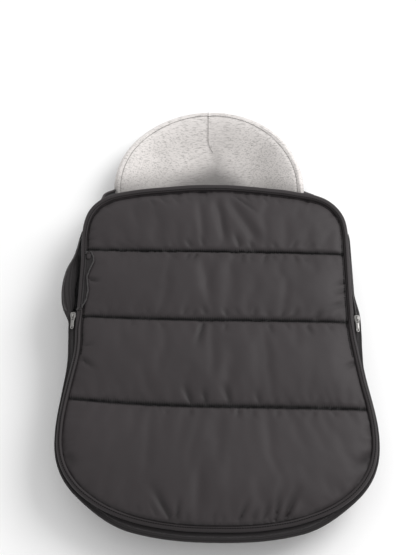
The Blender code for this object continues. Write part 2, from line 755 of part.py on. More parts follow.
def main():
    clear_scene()
    home = bpy.data.collections.new("stroller_footmuff")
    cutters = bpy.data.collections.new("cutters")
    bpy.context.scene.collection.children.link(home)
    bpy.context.scene.collection.children.link(cutters)
    made = {
        "shell": material("charcoal_satin_nylon", (0.055, 0.051, 0.052), 0.5),
        "wadding": material("white_wadding", (0.80, 0.80, 0.78), 0.95),
        "fleece": material("black_fleece", (0.020, 0.020, 0.021), 0.95),
        "marl": material("light_grey_marl_jersey", (0.62, 0.60, 0.58), 0.95),
        "binding": material("charcoal_binding", (0.035, 0.033, 0.034), 0.6),
        "tape": material("black_zip_tape", (0.018, 0.018, 0.018), 0.8),
        "coil": material("black_nylon_coil", (0.020, 0.020, 0.020), 0.35),
        "silver": material("silver_zinc_alloy", (0.62, 0.61, 0.60), 0.3, 1.0),
        "strap": material("black_elastic_webbing", (0.022, 0.022, 0.022), 0.85),
    }

    band_inset = BAND_WIDTH + CLEARANCE
    half_gap = CLEARANCE / 2.0

    def seam(centre, shift):
        return lambda share: seam_y(centre, share) + shift

    def foot_end(share):
        length = FOOT_CORNER_LENGTH - band_inset
        return FOOT_CORNER_Y - length * rounded(share, FOOT_ROUNDNESS)

    def head_end(share):
        length = HEAD_CORNER_LENGTH - BINDING_WIDTH - CLEARANCE
        return HEAD_CORNER_Y + length * rounded(share, HEAD_ROUNDNESS)

    foot = Channel(foot_end, seam(SEAM_3_Y, 0.0), band_inset)
    knee = Channel(seam(SEAM_3_Y, 0.0), seam(SEAM_2_Y, -half_gap), band_inset)
    lap = Channel(seam(SEAM_2_Y, half_gap), seam(SEAM_1_Y, -half_gap), band_inset)
    collar = Channel(seam(SEAM_1_Y, half_gap), head_end, band_inset)

    lower = quilt_layers("lower_apron", [foot, knee], [FOOT_ROWS, CHANNEL_ROWS], made, home)
    middle = quilt_layers("mid_apron", [lap], [CHANNEL_ROWS], made, home)
    upper = quilt_layers("collar", [collar], [CHANNEL_ROWS], made, home)

    # Side band of the lower apron: down the left, round the foot, up the right
    left_side = [place[0] for place in reversed(lower[0])]
    foot_line = [column[0][0] for column in lower]
    right_side = [place[0] for place in lower[-1]]
    lower_line = left_side + foot_line[1:-1] + right_side
    lower_path = with_normals(lower_line)
    strip("lower_band", lower_path, band_outline(BAND_WIDTH, BAND_HALF_HEIGHT),
          made["binding"], home)
    left_path = with_normals([place[0] for place in middle[0]])
    left_path = [(p, Vector((-1.0, 0.0, 0.0))) for p, n in left_path]
    right_path = [(place[0], Vector((1.0, 0.0, 0.0))) for place in middle[-1]]
    band = band_outline(BAND_WIDTH, BAND_HALF_HEIGHT)
    strip("left_mid_band", left_path, band, made["binding"], home)
    strip("right_mid_band", right_path, band, made["binding"], home)
    top_line = [place[0] for place in upper[0]] + [column[-1][0] for column in upper[1:-1]]
    top_line = top_line + [place[0] for place in reversed(upper[-1])]
    top_path = with_normals(top_line)
    top_path = [(p, -n) for p, n in top_path]
    last = len(top_path) - 1
    top_path[0] = (top_path[0][0], Vector((-1.0, 0.0, 0.0)))
    top_path[last] = (top_path[last][0], Vector((1.0, 0.0, 0.0)))

    def binding_outline(n):
        crest = abs(top_path[n][1].y)
        return band_outline(mix(BAND_WIDTH, BINDING_WIDTH, crest), BINDING_HALF_HEIGHT)

    strip("collar_binding", top_path, binding_outline, made["binding"], home)

    # Zip between apron and boot
    outer_path = [(p + n * band_inset, n) for p, n in lower_path]
    tape_high = -ZIP_DROP
    section = [(-TAPE_UNDER_BAND, tape_high - ZIP_TAPE),
               (ZIP_CENTRE - half_gap, tape_high - ZIP_TAPE),
               (ZIP_CENTRE - half_gap, tape_high), (-TAPE_UNDER_BAND, tape_high)]
    closed = trimmed(outer_path, -HALF_WIDTH * 2.0, CLOSED_ZIP_END_Y)
    strip("apron_zip_tape", closed, section, made["tape"], home)
    coil_height = tape_high + CLEARANCE + COIL_RADIUS
    cord("apron_zip_coil", moved(closed, ZIP_CENTRE - COIL_SPACING / 2.0, coil_height),
         COIL_RADIUS, made["coil"], home)
    tops, left_count, below_count = wall_tops(outer_path)
    feet = wall_feet(tops, left_count, below_count)
    gusset(tops, feet, made, home)
    boot_zip(tops, made, home)
    mid_zip_half("left", left_path, True, made, home)
    mid_zip_half("right", right_path, False, made, home)
    zip_pull(-1.0, "left", made, home, cutters)
    zip_pull(1.0, "right", made, home, cutters)
    back_panel(made, home, cutters)

    # Head strap across the curled head end, under the panel
    strap_path = []
    for k in range(13):
        x = mix(-STRAP_HALF_LENGTH, STRAP_HALF_LENGTH, k / 12)
        lift = rim_lift(Vector((x, STRAP_Y - STRAP_WIDTH / 2.0, 0.0)))
        strap_path.append((Vector((x, STRAP_Y, lift)), Vector((0.0, 1.0, 0.0))))
    strap_high = -STRAP_SLACK
    strap_low = strap_high - STRAP_THICKNESS
    edge = STRAP_WIDTH / 2.0
    strip("head_strap", strap_path, [(-edge, strap_low), (edge, strap_low),
                                     (edge, strap_high), (-edge, strap_high)],
          made["strap"], home)
    cutters.hide_render = True


main()
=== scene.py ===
"""Visual model of the stroller footmuff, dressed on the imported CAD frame.

X is across, the foot end is at -Y, the head end at +Y, the underside rests on Z = 0.
All lengths are in metres. Sizes that part.py also names keep their names here.
"""
import json
import math

import bmesh
import bpy
import numpy as np
from mathutils import Matrix, Vector, geometry, kdtree, noise

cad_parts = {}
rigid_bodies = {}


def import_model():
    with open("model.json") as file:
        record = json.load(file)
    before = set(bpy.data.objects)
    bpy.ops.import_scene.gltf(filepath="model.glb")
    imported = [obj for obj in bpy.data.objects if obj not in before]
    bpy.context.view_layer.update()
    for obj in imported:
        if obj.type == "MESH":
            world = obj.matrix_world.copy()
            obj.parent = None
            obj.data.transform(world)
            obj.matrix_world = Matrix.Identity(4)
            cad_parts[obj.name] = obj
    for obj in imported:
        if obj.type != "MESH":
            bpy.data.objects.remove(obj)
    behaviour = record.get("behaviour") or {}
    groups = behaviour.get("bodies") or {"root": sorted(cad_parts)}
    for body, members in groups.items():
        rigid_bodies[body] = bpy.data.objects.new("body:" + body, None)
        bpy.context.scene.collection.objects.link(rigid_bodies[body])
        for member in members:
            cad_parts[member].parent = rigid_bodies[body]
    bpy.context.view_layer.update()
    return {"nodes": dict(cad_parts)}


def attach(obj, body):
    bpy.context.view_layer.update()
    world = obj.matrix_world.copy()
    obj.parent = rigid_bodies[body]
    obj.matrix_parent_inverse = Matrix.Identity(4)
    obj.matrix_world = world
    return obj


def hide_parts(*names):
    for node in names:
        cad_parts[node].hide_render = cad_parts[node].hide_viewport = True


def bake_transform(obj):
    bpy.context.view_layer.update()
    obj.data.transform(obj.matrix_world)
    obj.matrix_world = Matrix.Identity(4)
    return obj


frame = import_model()

# Apron plan and heights, as in the CAD
HALF_WIDTH = 0.210
FOOT_HALF_WIDTH = 0.2285
FLARE_START_Y = -0.030
FOOT_CORNER_Y = -0.190
FOOT_CORNER_LENGTH = 0.1405
FOOT_ROUNDNESS = 2.3
HEAD_CORNER_Y = 0.130
HEAD_CORNER_LENGTH = 0.115
HEAD_ROUNDNESS = 3.5
SEAM_1_Y = 0.1145
SEAM_2_Y = -0.0095
SEAM_3_Y = -0.149
SEAM_CENTRES = (SEAM_3_Y, SEAM_2_Y, SEAM_1_Y)
# Rise of each seam's left and right end over its middle: seams 3, 2 and 1
SEAM_ENDS = ((0.0130, 0.0005), (0.0080, 0.0020), (0.0055, 0.0010))
EDGE_HEIGHT = 0.0880
FOOT_EDGE_HEIGHT = 0.0660
EDGE_FALL_LENGTH = 0.345
CROWN = 0.0060
BAND_WIDTH = 0.0070
BINDING_WIDTH = 0.0105
# Gap between a band and the quilt that it is sewn on
SEWN_GAP = 0.0003
QUILT_INSET = BAND_WIDTH + SEWN_GAP
BAND_STEP = 0.004
BAND_TOP = 0.0048
BAND_LOW = -0.0046
BINDING_LOW = -0.0045
# Length of each rounded end as a share of pi times its half width
FOOT_ARC = 0.82
HEAD_ARC = 0.80

# Quilt surface
SHELL_TOP = 0.0021
LINING_LOW = 0.0021
START_PUFF = 0.0060
PUFF_BELOW = 0.0045
CLOTH_SPACING = 0.0040
CLOTH_FRAMES = 24
CLOTH_PRESSURE = 2.4
CLOTH_GROWTH = 0.007
LEAST_THICKNESS = 0.0012
MOST_RISE = 0.0150
EVENING_ROUNDS = 2
# Times the depth of a sharp fold in its table
SHARP_SHARE = 2.2
PUCKER_PITCH = 0.0085
PUCKER_DEPTH = 0.0034
PUCKER_LENGTH = 0.0095
# Share of the puff taken off at the sewn head edge
HEAD_HELD = 0.62
GROOVE_DEPTH = 0.0030
GROOVE_WIDTH = 0.0023
SECOND_ROW = 0.0040
STITCH_PITCH = 0.0034
# Each kind of stitch: pitch, length and radius
EDGE_STITCH = (STITCH_PITCH, 0.0027, 0.00080)
SEAM_STITCH = (STITCH_PITCH, 0.0022, 0.00060)
TAPE_STITCH = (0.0032, 0.0024, 0.00034)
LOOSE_STITCH = (0.0030, 0.0020, 0.00032)
END_STITCH = (0.0027, 0.0020, 0.00040)
RIM_STITCH = (0.0030, 0.0027, 0.00055)
DART_STITCH = (0.0026, 0.0026, 0.00045)
SHADE_WIDTH = 0.0026
# Most painted shade at folds, edge, puckers and second stitch row, and the depth of a full fold
FOLD_SHADE = 0.46
EDGE_SHADE = 0.75
PUCKER_SHADE = 0.35
SECOND_SHADE = 0.5
FULL_SHADE_DEPTH = 0.0032

# Zip
ZIP_CENTRE = 0.0050
ZIP_DROP = 0.0048
TOOTH_PITCH = 0.0014
ZIP_TOP_Y = 0.160
FREE_TAPE_END_Y = 0.1080
SLIDER_LENGTH = 0.0125
ZIP_INSET = 0.0038
LIP_WIDTH = 0.0034

# Walls and panel
TOE_REACH = 0.0088
TUCKED_REACH = 0.0006
WALL_BELLY = 0.0045
WALL_HALF_THICKNESS = 0.0012
# Ridges along the wall: height, share of the wall's height and width in such shares
PIPING = ((0.0030, 0.86, 0.07), (0.0016, 0.66, 0.05))
WALL_FOLD = 0.0026
WALL_FINE_FOLD = 0.0009
WALL_GATHER = 0.0016
WALL_FOOT_GAP = 0.0012
WALL_FOOT_HEIGHT = 0.0040
WALL_TOP_DROP = 0.0066
WALL_HEAD_Y = 0.300
WALL_END_Y = 0.248
WALL_TAPER_START_Y = 0.145
WALL_HEAD_HEIGHT = 0.0500
WALL_HEAD_REACH = 0.0026
HEAD_SHIFT = -0.0125
CROWN_SHIFT = 0.0040
DART_X = -0.0040
DART_LOW_Y = 0.402
DART_DEPTH = 0.0026
# How far the wall's top stands outside the apron's edge, as (y, distance)
LEFT_REACH = ((-0.195, 0.0006), (-0.134, 0.0016), (-0.090, 0.0040), (-0.050, 0.0083),
              (-0.006, 0.0088), (0.006, 0.0150), (0.023, 0.0220), (0.045, 0.0245),
              (0.066, 0.0240), (0.089, 0.0200), (0.112, 0.0097), (0.132, 0.0040),
              (0.155, 0.0006))
RIGHT_REACH = ((-0.195, 0.0006), (-0.075, 0.0012), (-0.030, 0.0080), (-0.006, 0.0088),
               (0.012, 0.0080), (0.045, 0.0016), (0.155, 0.0006))
PANEL_HALF_WIDTH = 0.1585
PANEL_FOOT_HALF_WIDTH = 0.186
PANEL_HEAD_Y = 0.273
PANEL_HEAD_LENGTH = 0.168
PANEL_FOOT_Y = -0.190
PANEL_FOOT_LENGTH = 0.098
RIM_RISE = 0.0420
RIM_START = 0.50
RIM_RAMP_START_Y = 0.140
RIM_RAMP_LENGTH = 0.140
PANEL_TOP = 0.0150
PANEL_HOLLOW = 0.0040
POCKET_DEPTH = 0.0080
RIM_SEAM = 0.0104
RIM_TURN = 0.0060
RIM_ROLL = 0.0052
RIM_GROOVE = 0.0016
PAD_SOFTNESS = 0.0016
TOE_SHIFT = 0.0032
TOE_SPREAD = 0.0030
SHOULDER_DROP = 0.0046
CORNER_SPREAD = 0.0022

UP = Vector((0.0, 0.0, 1.0))
SHORTEST_SPAN = 1e-7


def smooth(t):
    t = min(max(t, 0.0), 1.0)
    return t * t * (3.0 - 2.0 * t)


def smooth_all(t):
    """The same for an array."""
    t = np.clip(t, 0.0, 1.0)
    return t * t * (3.0 - 2.0 * t)


def mix(a, b, t):
    return a + (b - a) * t


def steps(low, high, count):
    """Values from low to high, both included, in even steps."""
    return [mix(low, high, k / count) for k in range(count + 1)]


def rounded(share, power):
    return max(1.0 - abs(share) ** power, 0.0) ** (1.0 / power)


def signed_power(value, power):
    return math.copysign(abs(value) ** power, value)


def bell(offset, width):
    """Bell curve of a number or an array, 1 at offset 0."""
    return np.exp(-(offset / width) ** 2.0)


def add_object(name, data):
    item = bpy.data.objects.new(name, data)
    bpy.context.scene.collection.objects.link(item)
    return item


# Camera first, at the photograph's place
CAMERA_AT = Vector((0.0, -0.861, 1.539))
CAMERA_TILT = math.radians(60.0)
CAMERA_FOCUS_PX = 1114.0
FRAME_PX = (416.0, 555.0)
# Column and row of the photograph where the tilted axis lands
AXIS_PX = (215.3, 330.0)
SENSOR_HIGH_MM = 36.0


def make_camera():
    back = Vector((0.0, -math.cos(CAMERA_TILT), math.sin(CAMERA_TILT)))
    right = Vector((1.0, 0.0, 0.0))
    up = right.cross(-back)
    aim = -back + right * ((FRAME_PX[0] / 2.0 - AXIS_PX[0]) / CAMERA_FOCUS_PX)
    aim = aim + up * ((AXIS_PX[1] - FRAME_PX[1] / 2.0) / CAMERA_FOCUS_PX)
    data = bpy.data.cameras.new("camera")
    data.sensor_fit = "VERTICAL"
    data.sensor_height = SENSOR_HIGH_MM
    data.lens = SENSOR_HIGH_MM * CAMERA_FOCUS_PX / FRAME_PX[1]
    data.clip_start = 0.01
    data.clip_end = 50.0
    camera = add_object("camera", data)
    camera.location = CAMERA_AT
    camera.rotation_euler = aim.to_track_quat("-Z", "Y").to_euler()
    bpy.context.scene.camera = camera


make_camera()


# Materials
def tinted(colour, factor):
    return tuple(channel * factor for channel in colour)


class Nodes:
    """Small helper that keeps node trees short to write."""

    def __init__(self, name, colour, roughness, metallic=0.0):
        self.colour = colour
        self.material = bpy.data.materials.new(name)
        self.material.use_nodes = True
        self.tree = self.material.node_tree
        self.shader = self.tree.nodes["Principled BSDF"]
        self.feed(self.shader, {"Base Color": colour, "Roughness": roughness,
                                "Metallic": metallic})
        self.place = self.add("ShaderNodeTexCoord").outputs["Object"]

    def feed(self, node, inputs):
        """Links outputs into a node's inputs and sets the other ones to constants."""
        for key, value in inputs.items():
            socket = node.inputs[key]
            if isinstance(value, bpy.types.NodeSocket):
                self.tree.links.new(value, socket)
            else:
                socket.default_value = (*value, 1.0) if socket.type == "RGBA" else value

    def add(self, kind, inputs=None, **facts):
        node = self.tree.nodes.new(kind)
        for key, value in facts.items():
            setattr(node, key, value)
        self.feed(node, inputs or {})
        return node

    def attribute(self, name):
        return self.add("ShaderNodeAttribute", attribute_name=name).outputs["Fac"]

    def stretch(self, scale, turn=0.0):
        node = self.add("ShaderNodeMapping", {"Vector": self.place, "Scale": scale,
                                              "Rotation": (0.0, 0.0, turn)})
        return node.outputs["Vector"]

    def noise(self, scale, detail=3.0, rough=0.5, where=None):
        node = self.add("ShaderNodeTexNoise", {"Vector": where or self.place, "Scale": scale,
                                               "Detail": detail, "Roughness": rough})
        return node.outputs["Fac"]

    def wave(self, width, direction):
        """Waves with crests and troughs of one width; a tenth of pi over the scale is a wave."""
        inputs = {"Vector": self.place, "Scale": math.pi / width / 20.0}
        node = self.add("ShaderNodeTexWave", inputs, wave_type="BANDS",
                        bands_direction=direction, wave_profile="SIN")
        return node.outputs["Fac"]

    def crossed(self, across, along):
        return self.maths("MULTIPLY", self.wave(across, "X"), self.wave(along, "Y"))

    def ramp(self, source, *stops):
        node = self.add("ShaderNodeValToRGB", {"Fac": source})
        for element, (place, colour) in zip(node.color_ramp.elements, stops):
            element.position = place
            element.color = (*colour, 1.0)
        return node.outputs["Color"]

    def toned(self, source, low, low_factor, high, high_factor):
        """The base colour times one factor up to low and times another one from high on."""
        return self.ramp(source, (low, tinted(self.colour, low_factor)),
                         (high, tinted(self.colour, high_factor)))

    def mask(self, source, low, high, most):
        """0 up to low, then rising to most at high."""
        return self.ramp(source, (low, (0.0, 0.0, 0.0)), (high, (most, most, most)))

    def maths(self, operation, a, b):
        return self.add("ShaderNodeMath", {0: a, 1: b}, operation=operation).outputs["Value"]

    def spread(self, source, low, high):
        node = self.add("ShaderNodeMapRange", {"Value": source, "To Min": low, "To Max": high})
        return node.outputs["Result"]

    def mixed(self, share, first, second):
        node = self.add("ShaderNodeMix", {"Factor": share}, data_type="RGBA")
        self.feed(node, {6: first, 7: second})
        return node.outputs[2]

    def finished(self, inputs, *layers):
        """The material, with its shader fed and its bump layers laid one on the other."""
        normal = None
        for height, strength, distance in layers:
            node = self.add("ShaderNodeBump", {"Height": height, "Strength": strength,
                                               "Distance": distance})
            if normal is not None:
                self.feed(node, {"Normal": normal})
            normal = node.outputs["Normal"]
        self.feed(self.shader, {**inputs, "Normal": normal})
        return self.material


# Times a cloth's own colour: lit thread, painted shade at the bottom of a seam or fold, speck of lint
THREAD_LIGHT = 1.22
PAINTED_SHADE_TONE = 0.08
LINT_LIGHT = 1.5


def woven(name, colour, roughness, thread, sheen, unevenness=0.10, seamed=False):
    """Plain weave: two crossing thread waves, soft cloudy tone and a little lint; seamed cloth also gets
    painted shade at its seams and creases.
    """
    made = Nodes(name, colour, roughness)
    weave = made.crossed(thread, thread)
    cloud = made.noise(9.0, 4.0, 0.55)
    lint = made.noise(900.0, 2.0, 0.6)
    slack = made.noise(120.0)
    base = made.toned(cloud, 0.30, 1.0 - unevenness, 0.70, 1.0 + unevenness)
    cloth = made.mixed(weave, base, tinted(colour, THREAD_LIGHT))
    # Painted shade: the colour darkens at the seams, serrated by the stitch pulls, and in the creases of
    # the edge, folds and puckers.
    if seamed:
        pulls = made.maths("MULTIPLY", made.wave(STITCH_PITCH / 2.0, "X"), 0.34)
        serrated_seam_shade = made.maths("SUBTRACT", made.attribute("seam_depth"), pulls)
        for depth in (made.maths("MULTIPLY", serrated_seam_shade, 1.5), made.attribute("crease_depth")):
            cloth = made.mixed(depth, cloth, tinted(colour, PAINTED_SHADE_TONE))
    specks = made.mask(lint, 0.60, 0.80, 0.35)
    return made.finished(
        {"Base Color": made.mixed(specks, cloth, tinted(colour, LINT_LIGHT)),
         "Roughness": made.spread(cloud, roughness - 0.05, roughness + 0.07),
         "Specular IOR Level": 0.22, "Sheen Weight": sheen, "Sheen Roughness": 0.45},
        (weave, 0.25, 0.00012), (slack, 0.10, 0.0006))


def make_fleece():
    made = Nodes("black_fleece", (0.016, 0.016, 0.017), 0.95)
    pile = made.noise(420.0, 5.0, 0.7)
    clump = made.noise(60.0, 3.0, 0.6)
    return made.finished({"Base Color": made.toned(clump, 0.3, 0.7, 0.7, 1.8),
                          "Sheen Weight": 0.5, "Sheen Roughness": 0.4},
                         (pile, 0.9, 0.0008), (clump, 0.5, 0.0012))


def make_marl():
    light = (0.735, 0.700, 0.680)
    grey = (0.33, 0.315, 0.30)
    dark = (0.15, 0.142, 0.135)
    made = Nodes("marl_jersey", light, 0.92)
    across = made.add("ShaderNodeSeparateXYZ", {"Vector": made.place}).outputs["X"]
    right_half = made.maths("ADD", made.maths("MULTIPLY", across, 22.0), 0.5)

    def flecks(scale, low, high):
        """Streaks that slant down and outwards on each side of the dart."""
        sides = [made.mask(made.noise(1.0, 2.0, 0.6, made.stretch(scale, turn)), low, high, 0.62)
                 for turn in (-0.30, 0.36)]
        return made.mixed(right_half, *sides)

    base = made.toned(made.noise(14.0, 4.0, 0.6), 0.3, 0.92, 0.7, 1.07)
    knit = made.mixed(flecks((100.0, 520.0, 520.0), 0.50, 0.66), base, grey)
    knit = made.mixed(flecks((190.0, 640.0, 640.0), 0.60, 0.70), knit, dark)
    # Painted shade: the marl darkens towards 0.14 of its light colour in the fan under the apron's top
    # edge.
    hollow = made.maths("MULTIPLY", made.attribute("hollow"), 0.88)
    fuzz = made.noise(700.0, 4.0, 0.7)
    return made.finished({"Base Color": made.mixed(hollow, knit, tinted(light, 0.14)),
                          "Sheen Weight": 0.35, "Sheen Roughness": 0.5},
                         (made.crossed(0.0009, 0.0007), 0.35, 0.0003), (fuzz, 0.4, 0.0005))


def make_thread(name, colour):
    made = Nodes(name, colour, 0.6)
    ply = made.wave(0.0004, "DIAGONAL")
    return made.finished({"Base Color": made.toned(ply, 0.0, 0.7, 1.0, 1.3),
                          "Specular IOR Level": 0.10}, (ply, 0.5, 0.0001))


def make_coil():
    made = Nodes("zip_coil", (0.038, 0.035, 0.036), 0.45)
    worn = made.noise(300.0, 3.0, 0.6)
    return made.finished({"Base Color": made.toned(worn, 0.35, 0.8, 0.75, 1.9),
                          "Roughness": made.spread(worn, 0.30, 0.48)}, (worn, 0.15, 0.0002))


def make_silver():
    made = Nodes("satin_silver", (0.30, 0.292, 0.284), 0.30, 1.0)
    grain = made.noise(1.0, 3.0, 0.6, made.stretch((2600.0, 300.0, 2600.0)))
    smudge = made.noise(260.0, 3.0, 0.6)
    return made.finished({"Base Color": made.toned(smudge, 0.3, 0.80, 0.7, 1.05),
                          "Roughness": made.spread(grain, 0.22, 0.40)}, (grain, 0.08, 0.0001))


# Colour, roughness, thread width, sheen and unevenness of each woven cloth
nylon = woven("satin_nylon", (0.0335, 0.0288, 0.0302), 0.52, 0.00045, 0.04, seamed=True)
binding_cloth = woven("binding_cloth", (0.0270, 0.0232, 0.0243), 0.58, 0.00060, 0.05, 0.06)
tape_cloth = woven("tape_cloth", (0.0200, 0.0180, 0.0187), 0.70, 0.00080, 0.06, 0.05)
webbing = woven("webbing", (0.018, 0.0175, 0.018), 0.8, 0.0012, 0.1, 0.05)
fleece = make_fleece()
marl = make_marl()
dark_thread = make_thread("dark_thread", (0.003, 0.0028, 0.0029))
seam_thread = make_thread("seam_thread", (0.018, 0.017, 0.0175))
grey_thread = make_thread("grey_thread", (0.17, 0.162, 0.155))
coil_plastic = make_coil()
silver = make_silver()


# Plan functions of the apron
def apron_half_width(y):
    flare = smooth((FLARE_START_Y - y) / (FLARE_START_Y - FOOT_CORNER_Y))
    return mix(HALF_WIDTH, FOOT_HALF_WIDTH, flare)


def quilt_half(y):
    return apron_half_width(y) - QUILT_INSET


def edge_height(y):
    return mix(EDGE_HEIGHT, FOOT_EDGE_HEIGHT, smooth(-y / EDGE_FALL_LENGTH))


def edge_point(sign, y):
    """Place on the quilt's left (-1) or right (1) edge."""
    return Vector((sign * quilt_half(y), y, edge_height(y)))


def foot_end(share):
    length = FOOT_CORNER_LENGTH - QUILT_INSET
    return FOOT_CORNER_Y - length * rounded(share, FOOT_ROUNDNESS)


def head_end(share):
    length = HEAD_CORNER_LENGTH - BINDING_WIDTH - SEWN_GAP
    return HEAD_CORNER_Y + length * rounded(share, HEAD_ROUNDNESS)


def seam_level(number, share):
    """Y of a quilting seam, counted from the foot, at one share across or an array of them."""
    left, right = SEAM_ENDS[number]
    rise = left * (share < 0.0) + right * (share >= 0.0)
    return SEAM_CENTRES[number] + rise * share * share


LINES = (foot_end, lambda share: seam_level(0, share), lambda share: seam_level(1, share),
         lambda share: seam_level(2, share), head_end)
LEFT_END_Y = seam_level(2, -1.0)
RIGHT_END_Y = seam_level(2, 1.0)


def quilt_share(x, y):
    return max(min(x / quilt_half(y), 1.0), -1.0)


def quilt_shares(x, y):
    """The same for arrays."""
    return np.clip(x / np.array([quilt_half(v) for v in y]), -1.0, 1.0)


def middle_height(x, y):
    share = quilt_share(x, y)
    return edge_height(y) + CROWN * (1.0 - share * share)


def channel_of(x, y):
    """Number of the channel that a point of the quilt lies in, and its share up it."""
    share = quilt_share(x, y)
    levels = [line(share) for line in LINES]
    for n in range(4):
        if y <= levels[n + 1] or n == 3:
            along = (y - levels[n]) / max(levels[n + 1] - levels[n], 1e-6)
            return n, min(max(along, 0.0), 1.0)


def puff_share(x, y):
    along = channel_of(x, y)[1]
    share = quilt_share(x, y)
    return max(math.sin(math.pi * along), 0.0) ** 0.6 * (1.0 - abs(share) ** 8.0)


def end_shares(half, arc, roundness, step):
    """Shares across a rounded end from left to right, closer towards its corners."""
    turns = int(math.pi * half * arc / step)
    return [-signed_power(math.cos(math.pi * k / turns), 2.0 / roundness)
            for k in range(turns + 1)]


def quilt_outline(step):
    """Closed plan outline of the quilted field, anticlockwise from the left end of seam 1."""
    def side(sign, high):
        count = max(int((high - FOOT_CORNER_Y) / step), 2)
        return [(sign * quilt_half(y), y) for y in steps(FOOT_CORNER_Y, high, count)[:-1]]

    foot_half = FOOT_HALF_WIDTH - QUILT_INSET
    head_half = HALF_WIDTH - QUILT_INSET
    points = side(-1.0, LEFT_END_Y)[::-1]
    for share in end_shares(FOOT_HALF_WIDTH, FOOT_ARC, FOOT_ROUNDNESS, step)[1:-1]:
        points.append((share * foot_half, foot_end(share)))
    points += side(1.0, RIGHT_END_Y) + [(head_half, RIGHT_END_Y)]
    for share in end_shares(HALF_WIDTH, HEAD_ARC, HEAD_ROUNDNESS, step)[1:-1]:
        points.append((-share * head_half, head_end(share)))
    points.append((-head_half, LEFT_END_Y))
    filled = []
    for n, (ax, ay) in enumerate(points):
        bx, by = points[(n + 1) % len(points)]
        count = max(int(math.hypot(bx - ax, by - ay) / (1.3 * step)), 1)
        filled += [(mix(ax, bx, k / count), mix(ay, by, k / count)) for k in range(count)]
    return filled


def seam_line(number, step):
    """Plan points along a quilting seam, without its ends."""
    line = LINES[number]
    count = int(2.0 * HALF_WIDTH / step)
    points = []
    for share in steps(-1.0, 1.0, count)[1:-1]:
        y = line(share)
        points.append((share * quilt_half(y), y))
    return points


# Net of the quilt: rows beside seams and edges, as distance from the line and pitch along it
CLOSE_ROWS = ((0.0014, 0.0024), (0.0031, 0.0026), (0.0053, 0.0030))
ROW_MARGIN = 0.0011
# Least gap as a share of a row's distance, then margin and gap as shares of the net's step
ROW_GAP = 0.72
NET_MARGIN = 0.4
NET_GAP = 0.66


class Spots:
    """Places in the plan, kept in cells, to test how near the next one comes."""

    def __init__(self, size):
        self.size = size
        self.cells = {}

    def cell(self, x, y):
        return (math.floor(x / self.size), math.floor(y / self.size))

    def add(self, x, y):
        self.cells.setdefault(self.cell(x, y), []).append((x, y))

    def clear(self, x, y, gap):
        i, j = self.cell(x, y)
        near = [place for a in (i - 1, i, i + 1) for b in (j - 1, j, j + 1)
                for place in self.cells.get((a, b), ())]
        return all(math.hypot(px - x, py - y) >= gap for px, py in near)


def inside_quilt(x, y, margin):
    half = quilt_half(y)
    if abs(x) > half - margin:
        return False
    return foot_end(x / half) + margin < y < head_end(x / half) - margin


def beside(line, distance, pitch, closed):
    """Points at a distance from a line, on both sides, at a pitch along it."""
    places = []
    wanted = 0.0
    travelled = 0.0
    ends = line[1:] + line[:1] if closed else line[1:]
    for (ax, ay), (bx, by) in zip(line, ends):
        span = math.hypot(bx - ax, by - ay)
        while span > SHORTEST_SPAN and wanted <= travelled + span:
            t = (wanted - travelled) / span
            x, y = mix(ax, bx, t), mix(ay, by, t)
            ox, oy = (ay - by) / span * distance, (bx - ax) / span * distance
            places += [(x + ox, y + oy), (x - ox, y - oy)]
            wanted += pitch
        travelled += span
    return places


def even_net(outline, lines, step):
    """Triangles inside a closed outline, finer beside it and beside the lines kept as edges."""
    points = list(outline)
    edges = [(k, (k + 1) % len(outline)) for k in range(len(outline))]
    for line in lines:
        first = len(points)
        points += list(line)
        edges += [(first + k, first + k + 1) for k in range(len(line) - 1)]
    held = len(points)
    spots = Spots(step)
    for x, y in points:
        spots.add(x, y)
    for distance, pitch in CLOSE_ROWS:
        for line in [outline] + lines:
            for x, y in beside(line, distance, pitch, line is outline):
                if inside_quilt(x, y, ROW_MARGIN) and spots.clear(x, y, distance * ROW_GAP):
                    spots.add(x, y)
                    points.append((x, y))
    low_y = min(y for _, y in outline)
    high_y = max(y for _, y in outline)
    rise = step * math.sqrt(3.0) / 2.0
    for j in range(1, int((high_y - low_y) / rise) + 1):
        for i in range(int(2.0 * FOOT_HALF_WIDTH / step) + 1):
            x = -FOOT_HALF_WIDTH + step * (i + 0.5 * (j % 2))
            y = low_y + rise * j
            if inside_quilt(x, y, step * NET_MARGIN) and spots.clear(x, y, step * NET_GAP):
                points.append((x, y))
    out = geometry.delaunay_2d_cdt([Vector(p) for p in points], edges,
                                   [list(range(len(outline)))], 1, SHORTEST_SPAN)
    places, faces, origins = out[0], out[2], out[3]
    fixed = [any(o < held for o in origin) for origin in origins]
    return places, faces, fixed


CLOTH_SETTINGS = {
    "quality": 7,
    "mass": 0.15,
    "tension_stiffness": 25.0,
    "compression_stiffness": 18.0,
    "shear_stiffness": 8.0,
    "bending_stiffness": 0.3,
    "tension_damping": 12.0,
    "compression_damping": 12.0,
    "bending_damping": 2.0,
    "air_damping": 3.0,
    "use_pressure": True,
    "uniform_pressure_force": CLOTH_PRESSURE,
    "shrink_min": -CLOTH_GROWTH,
    "vertex_group_mass": "held",
    "pin_stiffness": 20.0,
}


def run_cloth(cloth_object, fixed):
    """Places of the cloth's points after its frames, with the fixed points held."""
    group = cloth_object.vertex_groups.new(name="held")
    group.add([n for n, f in enumerate(fixed) if f], 1.0, "REPLACE")
    change = cloth_object.modifiers.new("cloth", "CLOTH")
    for key, value in CLOTH_SETTINGS.items():
        setattr(change.settings, key, value)
    change.settings.effector_weights.gravity = 0.0
    change.collision_settings.use_collision = False
    change.point_cache.frame_start = 1
    change.point_cache.frame_end = CLOTH_FRAMES
    scene = bpy.context.scene
    scene.frame_start = 1
    scene.frame_end = CLOTH_FRAMES
    for step in range(1, CLOTH_FRAMES + 1):
        scene.frame_set(step)
    seen = cloth_object.evaluated_get(bpy.context.evaluated_depsgraph_get())
    result = np.array([v.co for v in seen.data.vertices])
    cloth_object.modifiers.clear()
    scene.frame_set(1)
    return result


